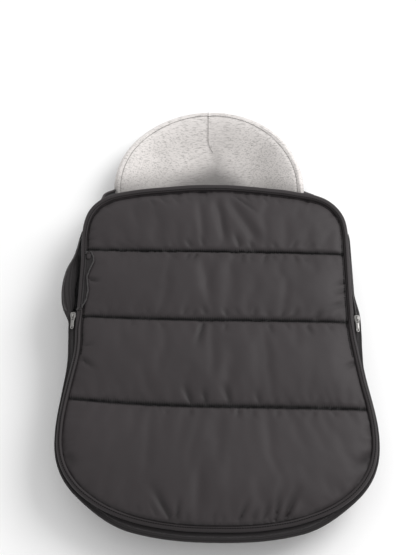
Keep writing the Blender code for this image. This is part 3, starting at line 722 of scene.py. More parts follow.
def inflate(name, places, faces, fixed):
    """Blows the quilted cloth up between its seams, with slack that gathers at them."""
    mesh = bpy.data.meshes.new(name)
    puffs = [puff_share(p.x, p.y) for p in places]
    start = []
    for p, puff in zip(places, puffs):
        z = middle_height(p.x, p.y) + SHELL_TOP + START_PUFF * puff
        tremble = noise.noise(Vector((p.x * 60.0, p.y * 22.0, 3.1)))
        start.append((p.x, p.y, z + 0.0008 * tremble * puff))
    mesh.from_pydata(start, [], faces)
    mesh.update()
    if sum(poly.normal.z for poly in mesh.polygons) < 0.0:
        mesh.flip_normals()
    cloth_object = add_object(name, mesh)
    start = np.array(start)
    result = run_cloth(cloth_object, fixed)
    bpy.data.objects.remove(cloth_object, do_unlink=True)
    move = result - start
    length = np.linalg.norm(move, axis=1, keepdims=True)
    move *= np.minimum(1.0, MOST_RISE / np.maximum(length, 1e-9))
    move[np.array(fixed)] = 0.0
    return start + move


# Drawn folds of the cloth: x and y of the start at the seam or edge, x and y of the end,
# half width, and depth (a ridge is positive). A soft fold fades in and out along its run.
SOFT_FOLDS = (
    (-0.026, 0.223, -0.015, 0.118, 0.0060, -0.0027), (-0.002, 0.223, 0.018, 0.118, 0.0055, -0.0036),
    (0.014, 0.221, 0.074, 0.118, 0.0080, -0.0042), (-0.018, 0.109, -0.011, 0.021, 0.0090, -0.0021),
    (0.021, 0.109, 0.026, 0.000, 0.0100, -0.0023), (0.132, 0.092, 0.114, 0.021, 0.0140, -0.0009),
    (-0.100, 0.092, -0.085, 0.021, 0.0140, -0.0008), (0.020, -0.042, 0.022, -0.131, 0.0100, -0.0016),
    (0.064, -0.017, 0.064, -0.140, 0.0100, -0.0014), (-0.149, -0.029, -0.109, -0.100, 0.0160, -0.0009),
    (0.157, -0.037, 0.125, -0.104, 0.0160, -0.0008), (-0.001, -0.157, -0.006, -0.210, 0.0100, -0.0014),
    (-0.023, -0.235, -0.020, -0.318, 0.0090, -0.0016), (0.053, -0.247, 0.030, -0.321, 0.0100, 0.0012),
    (0.098, -0.235, 0.069, -0.299, 0.0090, 0.0010), (0.016, -0.198, -0.009, -0.299, 0.0120, 0.0009),
)
SHARP_FOLDS = (
    (0.028, 0.223, 0.075, 0.177, 0.0040, -0.0012), (0.046, 0.225, 0.060, 0.197, 0.0035, -0.0009),
    (-0.103, 0.217, -0.093, 0.193, 0.0035, -0.0007), (-0.086, 0.221, -0.071, 0.195, 0.0035, -0.0008),
    (-0.068, 0.223, -0.053, 0.197, 0.0035, -0.0007), (-0.046, 0.225, -0.037, 0.200, 0.0030, -0.0007),
    (0.076, 0.225, 0.085, 0.202, 0.0030, -0.0007), (0.099, 0.223, 0.106, 0.202, 0.0030, -0.0006),
    (-0.035, 0.120, -0.048, 0.139, 0.0040, -0.0011), (-0.016, 0.120, -0.023, 0.146, 0.0040, -0.0010),
    (0.040, 0.120, 0.026, 0.154, 0.0050, -0.0013), (0.058, 0.119, 0.049, 0.139, 0.0040, -0.0009),
    (0.096, 0.119, 0.087, 0.135, 0.0040, -0.0008), (0.119, 0.119, 0.131, 0.139, 0.0040, -0.0009),
    (0.140, 0.119, 0.159, 0.135, 0.0040, -0.0007), (-0.198, 0.138, -0.182, 0.139, 0.0030, -0.0008),
    (-0.199, 0.155, -0.185, 0.156, 0.0030, -0.0007), (-0.148, 0.122, -0.160, 0.135, 0.0040, -0.0006),
    (-0.123, 0.120, -0.135, 0.135, 0.0040, -0.0006), (-0.068, 0.109, -0.059, 0.090, 0.0035, -0.0008),
    (-0.041, 0.109, -0.047, 0.086, 0.0040, -0.0009), (-0.027, 0.109, -0.039, 0.090, 0.0035, -0.0011),
    (0.044, 0.109, 0.038, 0.082, 0.0040, -0.0009), (0.054, 0.109, 0.058, 0.086, 0.0035, -0.0008),
    (0.079, 0.109, 0.073, 0.082, 0.0040, -0.0010), (0.089, 0.109, 0.093, 0.090, 0.0035, -0.0008),
    (0.108, 0.109, 0.103, 0.090, 0.0035, -0.0008), (0.122, 0.109, 0.129, 0.086, 0.0040, -0.0009),
    (0.136, 0.109, 0.144, 0.090, 0.0035, -0.0008), (-0.150, 0.113, -0.143, 0.094, 0.0035, -0.0005),
    (-0.172, -0.001, -0.177, 0.010, 0.0035, -0.0007), (-0.163, -0.001, -0.158, 0.012, 0.0035, -0.0007),
    (-0.153, -0.003, -0.146, 0.010, 0.0035, -0.0006), (-0.100, -0.005, -0.105, 0.010, 0.0040, -0.0007),
    (-0.087, -0.005, -0.082, 0.010, 0.0035, -0.0006), (-0.049, -0.006, -0.042, 0.014, 0.0040, -0.0009),
    (-0.034, -0.006, -0.028, 0.010, 0.0040, -0.0008), (-0.011, -0.006, -0.022, 0.017, 0.0040, -0.0012),
    (0.020, -0.006, 0.011, 0.012, 0.0040, -0.0011), (0.038, -0.008, 0.028, 0.014, 0.0040, -0.0009),
    (0.058, -0.008, 0.063, 0.014, 0.0040, -0.0011), (0.086, -0.008, 0.078, 0.007, 0.0035, -0.0008),
    (0.097, -0.008, 0.108, 0.010, 0.0040, -0.0008), (0.115, -0.008, 0.129, 0.014, 0.0040, -0.0010),
    (0.147, -0.008, 0.168, 0.014, 0.0050, -0.0014), (0.177, -0.008, 0.192, 0.007, 0.0040, -0.0008),
    (-0.197, 0.065, -0.172, 0.053, 0.0040, -0.0020), (0.208, 0.067, 0.176, 0.053, 0.0040, -0.0015),
    (0.207, 0.050, 0.173, 0.037, 0.0045, -0.0013), (0.206, 0.029, 0.156, 0.005, 0.0060, -0.0012),
    (-0.016, -0.013, -0.032, -0.068, 0.0060, -0.0017), (0.017, -0.015, 0.014, -0.038, 0.0040, -0.0009),
    (0.080, -0.013, 0.087, -0.045, 0.0050, -0.0010), (0.137, -0.015, 0.146, -0.041, 0.0050, -0.0011),
    (0.107, -0.013, 0.112, -0.033, 0.0040, -0.0008), (0.169, -0.013, 0.174, -0.031, 0.0040, -0.0007),
    (-0.082, -0.012, -0.077, -0.031, 0.0040, -0.0006), (-0.127, -0.008, -0.122, -0.026, 0.0040, -0.0005),
    (-0.127, -0.145, -0.134, -0.131, 0.0040, -0.0006), (-0.105, -0.145, -0.111, -0.128, 0.0040, -0.0007),
    (-0.082, -0.146, -0.086, -0.133, 0.0040, -0.0007), (-0.035, -0.148, -0.050, -0.112, 0.0055, -0.0016),
    (-0.014, -0.148, -0.020, -0.119, 0.0050, -0.0015), (0.021, -0.148, 0.009, -0.109, 0.0060, -0.0015),
    (0.063, -0.149, 0.055, -0.119, 0.0050, -0.0010), (0.083, -0.149, 0.089, -0.134, 0.0040, -0.0008),
    (0.108, -0.149, 0.104, -0.134, 0.0040, -0.0007), (0.141, -0.149, 0.150, -0.134, 0.0040, -0.0007),
    (0.176, -0.149, 0.169, -0.134, 0.0040, -0.0006), (-0.202, -0.072, -0.170, -0.100, 0.0045, -0.0017),
    (-0.200, -0.054, -0.176, -0.051, 0.0040, -0.0009), (0.216, -0.069, 0.179, -0.093, 0.0045, -0.0018),
    (0.219, -0.047, 0.194, -0.058, 0.0040, -0.0010), (-0.059, -0.318, -0.098, -0.254, 0.0070, -0.0018),
    (-0.053, -0.321, -0.049, -0.280, 0.0040, -0.0018), (-0.079, -0.314, -0.093, -0.283, 0.0040, -0.0009),
    (-0.037, -0.322, -0.039, -0.301, 0.0035, -0.0010), (-0.003, -0.324, 0.001, -0.299, 0.0040, -0.0010),
    (0.013, -0.324, 0.010, -0.305, 0.0035, -0.0009), (0.031, -0.321, 0.049, -0.280, 0.0045, -0.0019),
    (0.048, -0.321, 0.060, -0.295, 0.0035, -0.0015), (0.063, -0.321, 0.077, -0.283, 0.0045, -0.0016),
    (0.081, -0.319, 0.089, -0.266, 0.0045, -0.0024), (0.092, -0.318, 0.117, -0.260, 0.0055, -0.0029),
    (0.110, -0.315, 0.121, -0.292, 0.0040, -0.0008), (-0.103, -0.308, -0.112, -0.292, 0.0040, -0.0007),
    (0.132, -0.309, 0.141, -0.292, 0.0040, -0.0006), (-0.038, -0.154, -0.035, -0.171, 0.0040, -0.0007),
    (0.033, -0.154, 0.027, -0.174, 0.0040, -0.0008), (0.051, -0.154, 0.055, -0.174, 0.0040, -0.0008),
    (0.089, -0.154, 0.084, -0.171, 0.0040, -0.0007), (0.121, -0.154, 0.124, -0.168, 0.0040, -0.0006),
    (0.141, -0.154, 0.136, -0.169, 0.0040, -0.0007), (0.167, -0.154, 0.170, -0.168, 0.0040, -0.0006),
    (-0.073, -0.152, -0.068, -0.168, 0.0040, -0.0006), (-0.108, -0.149, -0.111, -0.165, 0.0040, -0.0005),
    (0.224, -0.214, 0.182, -0.248, 0.0110, -0.0018), (-0.214, -0.220, -0.189, -0.248, 0.0120, -0.0010),
)


def evened(heights, faces, share):
    """Heights with the tight wrinkles of the simulation softened where share is above 0."""
    pairs = np.array([(face[k - 1], face[k]) for face in faces for k in range(len(face))])
    ends = np.concatenate([pairs, pairs[:, ::-1]])
    counts = np.bincount(ends[:, 0], minlength=len(heights))
    for _ in range(EVENING_ROUNDS):
        sums = np.bincount(ends[:, 0], weights=heights[ends[:, 1]], minlength=len(heights))
        heights = heights + 0.7 * share * (sums / np.maximum(counts, 1) - heights)
    return heights


def along_fold(x, y, ax, ay, bx, by):
    """Shares of the way along a fold's line, and offsets from it."""
    length = math.hypot(bx - ax, by - ay)
    ux, uy = (bx - ax) / length, (by - ay) / length
    return ((x - ax) * ux + (y - ay) * uy) / length, (y - ay) * ux - (x - ax) * uy


def soft_folds(x, y):
    """Of each soft fold: depth, strength along its run and offset in widths."""
    for *ends, width, depth in SOFT_FOLDS:
        t, side = along_fold(x, y, *ends)
        yield depth, smooth_all(t / 0.35) * smooth_all((1.0 - t) / 0.35), side / (1.3 * width)


def sharp_folds(x, y):
    """The same of each sharp fold, which starts narrow and fades out slowly."""
    for *ends, width, depth in SHARP_FOLDS:
        t, side = along_fold(x, y, *ends)
        fade = smooth_all((t + 0.05) / 0.16) * (1.0 - smooth_all((t - 0.25) / 0.75))
        wide = width * (0.55 + 0.85 * np.clip(t, 0.0, 1.0))
        yield SHARP_SHARE * depth, fade, side / wide


def fold_heights(x, y):
    change = np.zeros_like(x)
    for depth, fade, q in (*soft_folds(x, y), *sharp_folds(x, y)):
        change += depth * fade * np.exp(-q * q) * (1.0 - 0.5 * q * q)
    return change


def fold_shades(x, y):
    """Painted shade at the bottoms of the sharp folds, where the cloth closes on itself."""
    dark = np.zeros_like(x)
    for depth, fade, q in sharp_folds(x, y):
        share = min(-depth / FULL_SHADE_DEPTH, 1.0)
        dark = np.maximum(dark, FOLD_SHADE * share * fade * bell(q, 0.75))
    return dark


def crease_table(seed, pitch, calm):
    """Uneven creases along a line: 0 between them and down to -1 at their bottoms."""
    places = np.linspace(-1.0, 2.2, 6401)
    values = []
    for p in places:
        wave = noise.noise(Vector((p / pitch, seed, 0.5)))
        slow = noise.noise(Vector((p / (pitch * 5.0), seed, 9.5)))
        sharp = max(1.0 - abs(wave) / 0.42, 0.0) ** 1.6
        values.append(-sharp * min(max(calm + 1.3 * slow, 0.10), 1.0))
    return places, np.array(values)


def head_share(y):
    """1 in the rounded top of the upper channel, 0 below it."""
    return smooth_all((y - 0.17) / 0.03)


def second_share(y):
    """1 where a second stitch row runs beside the edge, fading out down the sides."""
    return smooth_all((y + 0.09) / 0.05)


def pucker_heights(x, y, shares, edge_gap, edge_run):
    """Short creases that run from every seam and from the edge into the puffed cloth."""
    change = np.zeros_like(x)
    for number in range(3):
        for side, lean in ((1.0, 0.30), (-1.0, -0.25)):
            table = crease_table(number * 3.0 + 3.0 + side, PUCKER_PITCH, 0.45)
            gap = (y - seam_level(number, shares)) * side
            depth = PUCKER_DEPTH * smooth_all(gap / 0.0016) * np.exp(-gap / PUCKER_LENGTH)
            change += np.where(gap > 0.0, depth * np.interp(x + lean * gap, *table), 0.0)
    table = crease_table(31.0, PUCKER_PITCH * 1.1, 0.58)
    head = 1.0 + 0.5 * head_share(y)
    depth = PUCKER_DEPTH * head * smooth_all(edge_gap / 0.0020)
    depth *= np.exp(-edge_gap / (PUCKER_LENGTH * head))
    ends = smooth_all((np.abs(y - 0.5 * (SEAM_3_Y + SEAM_1_Y)) - 0.12) / 0.06)
    return change + depth * np.interp(edge_run, *table) * (0.25 + 0.75 * ends)


def grooves(y, shares, edge_gap):
    """Tight valleys of the quilting seams and of the sewn edge."""
    depth = 0.5 * bell(edge_gap, GROOVE_WIDTH)
    depth += 0.55 * second_share(y) * bell(edge_gap - SECOND_ROW, GROOVE_WIDTH * 0.8)
    for number in range(3):
        depth += bell(y - seam_level(number, shares), GROOVE_WIDTH)
    return -GROOVE_DEPTH * depth


def solid(name, bm, materials, sharp=None):
    """Smooth-shaded object of closed forms with their faces outwards; sharp is in degrees."""
    bmesh.ops.recalc_face_normals(bm, faces=bm.faces[:])
    if bm.calc_volume(signed=True) < 0.0:
        bmesh.ops.reverse_faces(bm, faces=bm.faces[:])
    mesh = bpy.data.meshes.new(name)
    bm.to_mesh(mesh)
    bm.free()
    for made in materials:
        mesh.materials.append(made)
    for poly in mesh.polygons:
        poly.use_smooth = True
    if sharp is not None:
        mesh.set_sharp_from_angle(angle=math.radians(sharp))
    return add_object(name, mesh)


def closed_pad(name, tops, lows, faces, shades):
    """Closed form from a top skin, an underside on the same net and a strip between them."""
    bm = bmesh.new()
    upper = [bm.verts.new(p) for p in tops]
    lower = [bm.verts.new(p) for p in lows]
    for face in faces:
        bm.faces.new([upper[n] for n in face])
        bm.faces.new([lower[n] for n in reversed(face)]).material_index = 1
    bm.verts.index_update()
    for edge in [e for e in bm.edges if len(e.link_faces) == 1]:
        a, b = edge.verts
        if a.index < len(upper):
            bm.faces.new((a, b, lower[b.index], lower[a.index]))
    item = solid(name, bm, (nylon, fleece), 65.0)
    # The top skin carries the painted shade masks; the underside carries none.
    for label, values in zip(("seam_depth", "crease_depth"), shades):
        shade = item.data.attributes.new(label, "FLOAT", "POINT")
        shade.data.foreach_set("value", np.concatenate([values, np.zeros(len(lows))]))
    return item


def part_of_net(faces, wanted):
    """The wanted faces, renumbered, with the list of points they use."""
    chosen = [face for face, want in zip(faces, wanted) if want]
    used = sorted({n for face in chosen for n in face})
    number = {n: k for k, n in enumerate(used)}
    return [[number[n] for n in face] for face in chosen], used


def plan_tree(points):
    """Tree that finds the nearest of some points in the plan."""
    tree = kdtree.KDTree(len(points))
    for n, p in enumerate(points):
        tree.insert((p[0], p[1], 0.0), n)
    tree.balance()
    return tree


def edge_reach(outline, places):
    """Distance of each place from the outline, and the length along it to the nearest point."""
    runs = [0.0]
    for (ax, ay), (bx, by) in zip(outline, outline[1:]):
        runs.append(runs[-1] + math.hypot(bx - ax, by - ay))
    tree = plan_tree(outline)
    near = [tree.find((p.x, p.y, 0.0)) for p in places]
    return np.array([found[2] for found in near]), np.array([runs[found[1]] for found in near])


def make_apron():
    """The two quilted pieces; gives back the height of their top at a place."""
    step = CLOTH_SPACING * 0.75
    outline = quilt_outline(step)
    places, faces, fixed = even_net(outline, [seam_line(n, step) for n in (1, 2, 3)],
                                    CLOTH_SPACING)
    tops = inflate("apron_cloth", places, faces, fixed)
    edge_gap, edge_run = edge_reach(outline, places)
    x = np.array([p.x for p in places])
    y = np.array([p.y for p in places])
    shares = quilt_shares(x, y)
    seam_gap = np.min([np.abs(y - seam_level(n, shares)) for n in range(3)], axis=0)
    sewn_gap = np.minimum(edge_gap, seam_gap)
    middles = np.array([middle_height(p.x, p.y) for p in places])
    base = middles + SHELL_TOP
    heights = evened(tops[:, 2], faces, smooth_all((sewn_gap - 0.003) / 0.010))
    held = HEAD_HELD * head_share(y) * (1.0 - smooth_all((edge_gap - 0.004) / 0.016))
    loose = smooth_all(sewn_gap / 0.0035)
    puckers = pucker_heights(x, y, shares, edge_gap, edge_run)
    heights = base + (heights - base) * (1.0 - held) + fold_heights(x, y) * loose
    heights += puckers + grooves(y, shares, edge_gap)
    # Painted shade for the nylon's colour: near the seams, along the sewn edge, in fold bottoms, in
    # puckers and at the second stitch row.
    seams = bell(seam_gap, SHADE_WIDTH)
    second = second_share(y) * bell(edge_gap - SECOND_ROW, 0.5 * SHADE_WIDTH)
    creases = np.max([EDGE_SHADE * bell(edge_gap, 0.8 * SHADE_WIDTH),
                      fold_shades(x, y) * loose,
                      np.clip(-0.25 * puckers / PUCKER_DEPTH, 0.0, PUCKER_SHADE),
                      SECOND_SHADE * second], axis=0)
    puffs = np.array([puff_share(p.x, p.y) for p in places])
    lows = np.column_stack([x, y, middles - LINING_LOW - PUFF_BELOW * puffs])
    tops[:, 2] = np.maximum(heights, lows[:, 2] + LEAST_THICKNESS)
    centres = [sum((places[n] for n in face), Vector((0.0, 0.0))) / len(face)
               for face in faces]
    in_collar = np.array([channel_of(c.x, c.y)[0] == 3 for c in centres])

    def piece(name, wanted):
        chosen, used = part_of_net(faces, wanted)
        return closed_pad(name, tops[used], lows[used], chosen, (seams[used], creases[used]))

    main = piece("apron_quilt", ~in_collar)
    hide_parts("lower_apron_shell", "lower_apron_wadding", "lower_apron_lining",
                "mid_apron_shell", "mid_apron_wadding", "mid_apron_lining")
    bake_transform(main)
    collar = piece("collar_quilt", in_collar)
    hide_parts("collar_shell", "collar_wadding", "collar_lining")
    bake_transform(collar)
    tree = plan_tree(tops)

    def surface(x, y):
        near = tree.find_n((x, y, 0.0), 3)
        weights = [1.0 / (distance + 1e-5) for _, _, distance in near]
        return sum(tops[n][2] * w for (_, n, _), w in zip(near, weights)) / sum(weights)

    return surface


quilt_top = make_apron()


# Paths along the edges: pairs of a point and the level direction to its outer side
def with_normals(points):
    """The points, each with the level direction to the right of the way."""
    path = []
    for n, point in enumerate(points):
        along = (points[min(n + 1, len(points) - 1)] - points[max(n - 1, 0)]).normalized()
        path.append((point, Vector((along.y, -along.x, 0.0)).normalized()))
    return path


def band_line(step):
    """Inner line of the side band: from the left top down, round the foot and up the right."""
    count = int((LEFT_END_Y - FOOT_CORNER_Y) / step)
    half = FOOT_HALF_WIDTH - QUILT_INSET
    left = [edge_point(-1.0, y) for y in steps(LEFT_END_Y, FOOT_CORNER_Y, count)[:-1]]
    foot = [Vector((share * half, foot_end(share), edge_height(foot_end(share))))
            for share in end_shares(half, FOOT_ARC, FOOT_ROUNDNESS, step)]
    right = [edge_point(1.0, y) for y in steps(FOOT_CORNER_Y, RIGHT_END_Y, count)[1:]]
    return left + foot + right


def head_line(step):
    """Inner line of the top binding, from the left end of seam 1 over the top to the right."""
    half = HALF_WIDTH - QUILT_INSET
    count = 3
    points = [(-half, y) for y in steps(LEFT_END_Y, HEAD_CORNER_Y, count)[:-1]]
    points += [(share * half, head_end(share))
               for share in end_shares(half, HEAD_ARC, HEAD_ROUNDNESS, step)]
    points += [(half, y) for y in steps(HEAD_CORNER_Y, RIGHT_END_Y, count)[1:]]
    return [Vector((x, y, middle_height(x, y))) for x, y in points]


def skin(bm, rings):
    """Faces between neighbouring rings and over both ends."""
    count = len(rings[0])
    for near, far in zip(rings, rings[1:]):
        for k in range(count):
            m = (k + 1) % count
            bm.faces.new((near[k], near[m], far[m], far[k]))
    bm.faces.new(rings[0])
    bm.faces.new(rings[-1][::-1])


def strip(name, path, outline, made):
    """Closed strip: an outline in offset and height carried along a path."""
    bm = bmesh.new()
    rings = []
    for n, (point, out) in enumerate(path):
        places = outline(n) if callable(outline) else outline
        rings.append([bm.verts.new(point + out * o + UP * z) for o, z in places])
    skin(bm, rings)
    return solid(name, bm, (made,), 50.0)


def rounded_band(width, low):
    """Half-round folded band: offsets from the quilt's edge, with a soft fold outside."""
    high = BAND_TOP
    nose = high * 0.9
    tuck = 0.0012
    places = [(SEWN_GAP, low)]
    for k in range(9):
        turn = math.pi * (k / 8.0 - 0.5)
        places.append((SEWN_GAP + width - nose + nose * math.cos(turn),
                       (high - low) / 2.0 * math.sin(turn) + (high + low) / 2.0))
    return places + [(SEWN_GAP, high), (SEWN_GAP - tuck, high - tuck),
                     (SEWN_GAP - tuck, low + tuck)]


def wobbly(path, amount, scale, seed):
    """The path with a slow hand-made unevenness in plan and height."""
    result = []
    for point, out in path:
        shift = noise.noise(point * scale + Vector((seed, 0.0, 0.0)))
        lift = noise.noise(point * scale + Vector((0.0, seed, 4.0)))
        result.append((point + out * shift * amount + UP * lift * amount, out))
    return result


def spaced(path, pitch, wanted):
    """Places at a pitch along a path: point, outward direction and direction of the path."""
    travelled = 0.0
    for (a, a_out), (b, b_out) in zip(path, path[1:]):
        span = (b - a).length
        if span < SHORTEST_SPAN:
            continue
        while wanted <= travelled + span:
            t = (wanted - travelled) / span
            yield a.lerp(b, t), a_out.lerp(b_out, t).normalized(), (b - a) / span
            wanted += pitch
        travelled += span


def stitches(name, path, kind, made):
    """A row of thread stitches along a path, as small closed grains."""
    pitch, length, radius = kind
    bm = bmesh.new()
    for middle, out, along in spaced(path, pitch, pitch / 2.0):
        side = along.cross(out).normalized()
        tips = [bm.verts.new(middle + along * s * length / 2.0) for s in (-1.0, 1.0)]
        ring = []
        for k in range(6):
            turn = math.pi * k / 3.0
            offset = (out * math.cos(turn) + side * math.sin(turn)) * radius
            ring.append([bm.verts.new(middle + along * s * length * 0.28 + offset)
                         for s in (-1.0, 1.0)])
        for k in range(6):
            p, q = ring[k], ring[(k + 1) % 6]
            bm.faces.new((p[0], q[0], q[1], p[1]))
            bm.faces.new((tips[0], q[0], p[0]))
            bm.faces.new((tips[1], p[1], q[1]))
    return solid(name, bm, (made,))


def sew_row(label, number, path, offset, low):
    """Stitch row beside the quilt's edge, left out where the path lies below low."""
    runs = [[]]
    for p, out in path:
        if p.y < low:
            runs.append([])
            continue
        if label == "side" and offset > 0.0:
            place = p + out * mix(offset, 0.0032, smooth(-p.y / 0.03))
        else:
            place = p + out * offset
        lift = BAND_TOP + 0.0001 if offset > 0.0 else quilt_top(place.x, place.y) - p.z + SEWN_GAP
        runs[-1].append((place + UP * lift, out))
    for k, run in enumerate([run for run in runs if len(run) > 3]):
        made = stitches("%s_stitches_%d_%d" % (label, number, k + 1), run, EDGE_STITCH,
                        dark_thread)
        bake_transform(made)


def make_bands():
    side_path = wobbly(with_normals(band_line(BAND_STEP)), 0.0004, 40.0, 1.0)
    side = strip("side_band", side_path, rounded_band(BAND_WIDTH, BAND_LOW), binding_cloth)
    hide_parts("lower_band", "left_mid_band", "right_mid_band")
    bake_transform(side)
    head_path = [(p, -out) for p, out in with_normals(head_line(BAND_STEP))]
    head_path[0] = (head_path[0][0], Vector((-1.0, 0.0, 0.0)))
    head_path[-1] = (head_path[-1][0], Vector((1.0, 0.0, 0.0)))
    head_path = wobbly(head_path, 0.0005, 35.0, 5.0)

    def binding(n):
        crest = abs(head_path[n][1].y)
        return rounded_band(mix(BAND_WIDTH, BINDING_WIDTH, crest), BINDING_LOW)

    top = strip("top_binding", head_path, binding, binding_cloth)
    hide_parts("collar_binding")
    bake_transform(top)
    for number, offset, side_low in ((1, 0.0010, -1.0), (2, -SECOND_ROW, -0.07)):
        sew_row("binding", number, head_path, offset, -1.0)
        sew_row("side", number, side_path, offset, side_low)
    for number, body in ((1, "boot"), (2, "boot"), (3, "mid_flap")):
        points = [Vector((x, y, middle_height(x, y) + SHELL_TOP - GROOVE_DEPTH + 0.0006))
                  for x, y in seam_line(number, 0.003)]
        made = stitches("seam_%d_stitches" % (4 - number), with_normals(points), SEAM_STITCH,
                        seam_thread)
        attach(made, body)


make_bands()


# Gusset wall
def panel_half_width(y):
    flare = smooth((FLARE_START_Y - y) / (FLARE_START_Y - PANEL_FOOT_Y))
    return mix(PANEL_HALF_WIDTH, PANEL_FOOT_HALF_WIDTH, flare)


def beyond_head(y):
    """Share of the panel's rounded head that lies below y."""
    return max(y - PANEL_HEAD_Y, 0.0) / PANEL_HEAD_LENGTH


def rim_lift(x, y):
    reach = math.hypot(x / PANEL_HALF_WIDTH, beyond_head(y))
    ramp = smooth((y - RIM_RAMP_START_Y) / RIM_RAMP_LENGTH)
    return RIM_RISE * ramp * smooth((reach - RIM_START) / (1.0 - RIM_START))


def stop_value(stops, y):
    return float(np.interp(y, *zip(*stops)))


def wall_reach(x, y):
    """Distance of the wall's top outside the apron's edge, evened out along the edge."""
    if y < FOOT_CORNER_Y:
        share = abs(x) / FOOT_HALF_WIDTH
        return mix(TUCKED_REACH, TOE_REACH, smooth((0.86 - share) / 0.36))
    stops = LEFT_REACH if x < 0.0 else RIGHT_REACH
    return sum(stop_value(stops, y + step * 0.003) for step in (-2, -1, 0, 1, 2)) / 5.0


def head_shift(y):
    return HEAD_SHIFT * smooth((y - 0.19) / 0.09) + CROWN_SHIFT * smooth((y - 0.34) / 0.10)


def wall_lines(step):
    """Top and foot lines of the wall: from the left head end round the foot to the right."""
    def side(sign, y):
        taper = smooth((y - WALL_TAPER_START_Y) / (WALL_HEAD_Y - WALL_TAPER_START_Y))
        tucked = smooth((y - WALL_END_Y) / 0.026)
        x = mix(apron_half_width(y) + wall_reach(sign, y), PANEL_HALF_WIDTH + WALL_HEAD_REACH,
                taper)
        z = mix(edge_height(y) - WALL_TOP_DROP, WALL_HEAD_HEIGHT, taper)
        half = panel_half_width(y) * math.sqrt(1.0 - beyond_head(y) ** 2.0) + WALL_FOOT_GAP
        half -= 0.0100 * tucked
        foot_z = WALL_FOOT_HEIGHT + rim_lift(half, y)
        shift = head_shift(y)
        top = Vector((sign * x + shift, y, z))
        foot = Vector((sign * half + shift, y, foot_z - 0.002 * tucked))
        return top.lerp(foot + UP * 0.0035, tucked), foot

    def end(share):
        reach = rounded(share, FOOT_ROUNDNESS)
        edge_y = FOOT_CORNER_Y - FOOT_CORNER_LENGTH * reach
        beyond = wall_reach(share * FOOT_HALF_WIDTH, edge_y - 0.0001)
        top = Vector((share * (FOOT_HALF_WIDTH + beyond), edge_y - beyond * reach,
                      edge_height(edge_y) - WALL_TOP_DROP))
        foot = Vector((share * (PANEL_FOOT_HALF_WIDTH + WALL_FOOT_GAP),
                       PANEL_FOOT_Y - (PANEL_FOOT_LENGTH + WALL_FOOT_GAP) * reach,
                       WALL_FOOT_HEIGHT))
        return top, foot

    count = int((WALL_HEAD_Y - FOOT_CORNER_Y) / step)
    pairs = [side(-1.0, y) for y in steps(WALL_HEAD_Y, FOOT_CORNER_Y, count)[:-1]]
    pairs += [end(share) for share in end_shares(FOOT_HALF_WIDTH, FOOT_ARC, FOOT_ROUNDNESS, step)]
    pairs += [side(1.0, y) for y in steps(FOOT_CORNER_Y, WALL_HEAD_Y, count)[1:]]
    return zip(*pairs)


def two_skins(bm, upper, lower):
    """Closed form of two grids of points, the lower one in the second material."""
    columns, rows = len(upper) - 1, len(upper[0]) - 1
    made = {}
    for i in range(columns + 1):
        for j in range(rows + 1):
            made[i, j] = bm.verts.new(upper[i][j]), bm.verts.new(lower[i][j])
    for i in range(columns):
        for j in range(rows):
            corners = (made[i, j], made[i + 1, j], made[i + 1, j + 1], made[i, j + 1])
            bm.faces.new([top for top, _ in corners])
            under = bm.faces.new([low for _, low in (corners[0], *corners[:0:-1])])
            under.material_index = 1
    ring = [(i, 0) for i in range(columns)] + [(columns, j) for j in range(rows)]
    ring += [(i, rows) for i in range(columns, 0, -1)] + [(0, j) for j in range(rows, 0, -1)]
    for a, b in zip(ring, ring[1:] + ring[:1]):
        bm.faces.new((made[a][0], made[b][0], made[b][1], made[a][1]))


def wall_swell(u, travelled, open_side):
    """How far the wall stands out at a share of its height: belly, piping, folds, gathers."""
    where = Vector((travelled * 26.0, u * 2.2, 7.0))
    belly = WALL_BELLY * math.sin(math.pi * u) * (0.35 + 0.65 * u)
    piping = sum(height * bell(u - share, width) for height, share, width in PIPING)
    fold = WALL_FOLD * noise.noise(where) * math.sin(math.pi * min(u * 1.02, 1.0)) ** 0.5
    fine = WALL_FINE_FOLD * noise.noise(where * 3.1) * u
    sway = travelled * 210.0 + 2.0 * u + 1.5 * noise.noise(where * 0.5)
    gather = WALL_GATHER * open_side * math.sin(sway) * u * (1.0 - u ** 6.0)
    return belly + piping * (1.0 - open_side) + fold + fine + gather


def make_gusset():
    """The wall and its lining; gives back the path along its top."""
    tops, feet = wall_lines(0.0045)
    path = with_normals(tops)
    rows = 18
    table = np.zeros((len(tops), rows + 1, 3))
    travelled = 0.0
    for n, ((top, out), foot) in enumerate(zip(path, feet)):
        travelled += (top - tops[max(n - 1, 0)]).length
        open_side = smooth(top.y / 0.03) * smooth((0.24 - top.y) / 0.05)
        if top.x > 0.0:
            open_side *= 0.4
        for j, u in enumerate(steps(0.0, 1.0, rows)):
            table[n, j] = foot.lerp(top, u) + out * wall_swell(u, travelled, open_side)
    normal = np.cross(np.gradient(table, axis=0), np.gradient(table, axis=1))
    normal *= WALL_HALF_THICKNESS / np.linalg.norm(normal, axis=2, keepdims=True)
    middle = len(tops) // 2
    if normal[middle, rows // 2] @ np.array(path[middle][1]) < 0.0:
        normal = -normal
    bm = bmesh.new()
    two_skins(bm, table + normal, table - normal)
    item = solid("gusset", bm, (nylon, fleece), 60.0)
    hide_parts("gusset_shell", "gusset_lining")
    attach(item, "boot")
    return path


wall_path = make_gusset()


# Zip
def between(path, low, high):
    return [(p, out) for p, out in path if low <= p.y <= high]


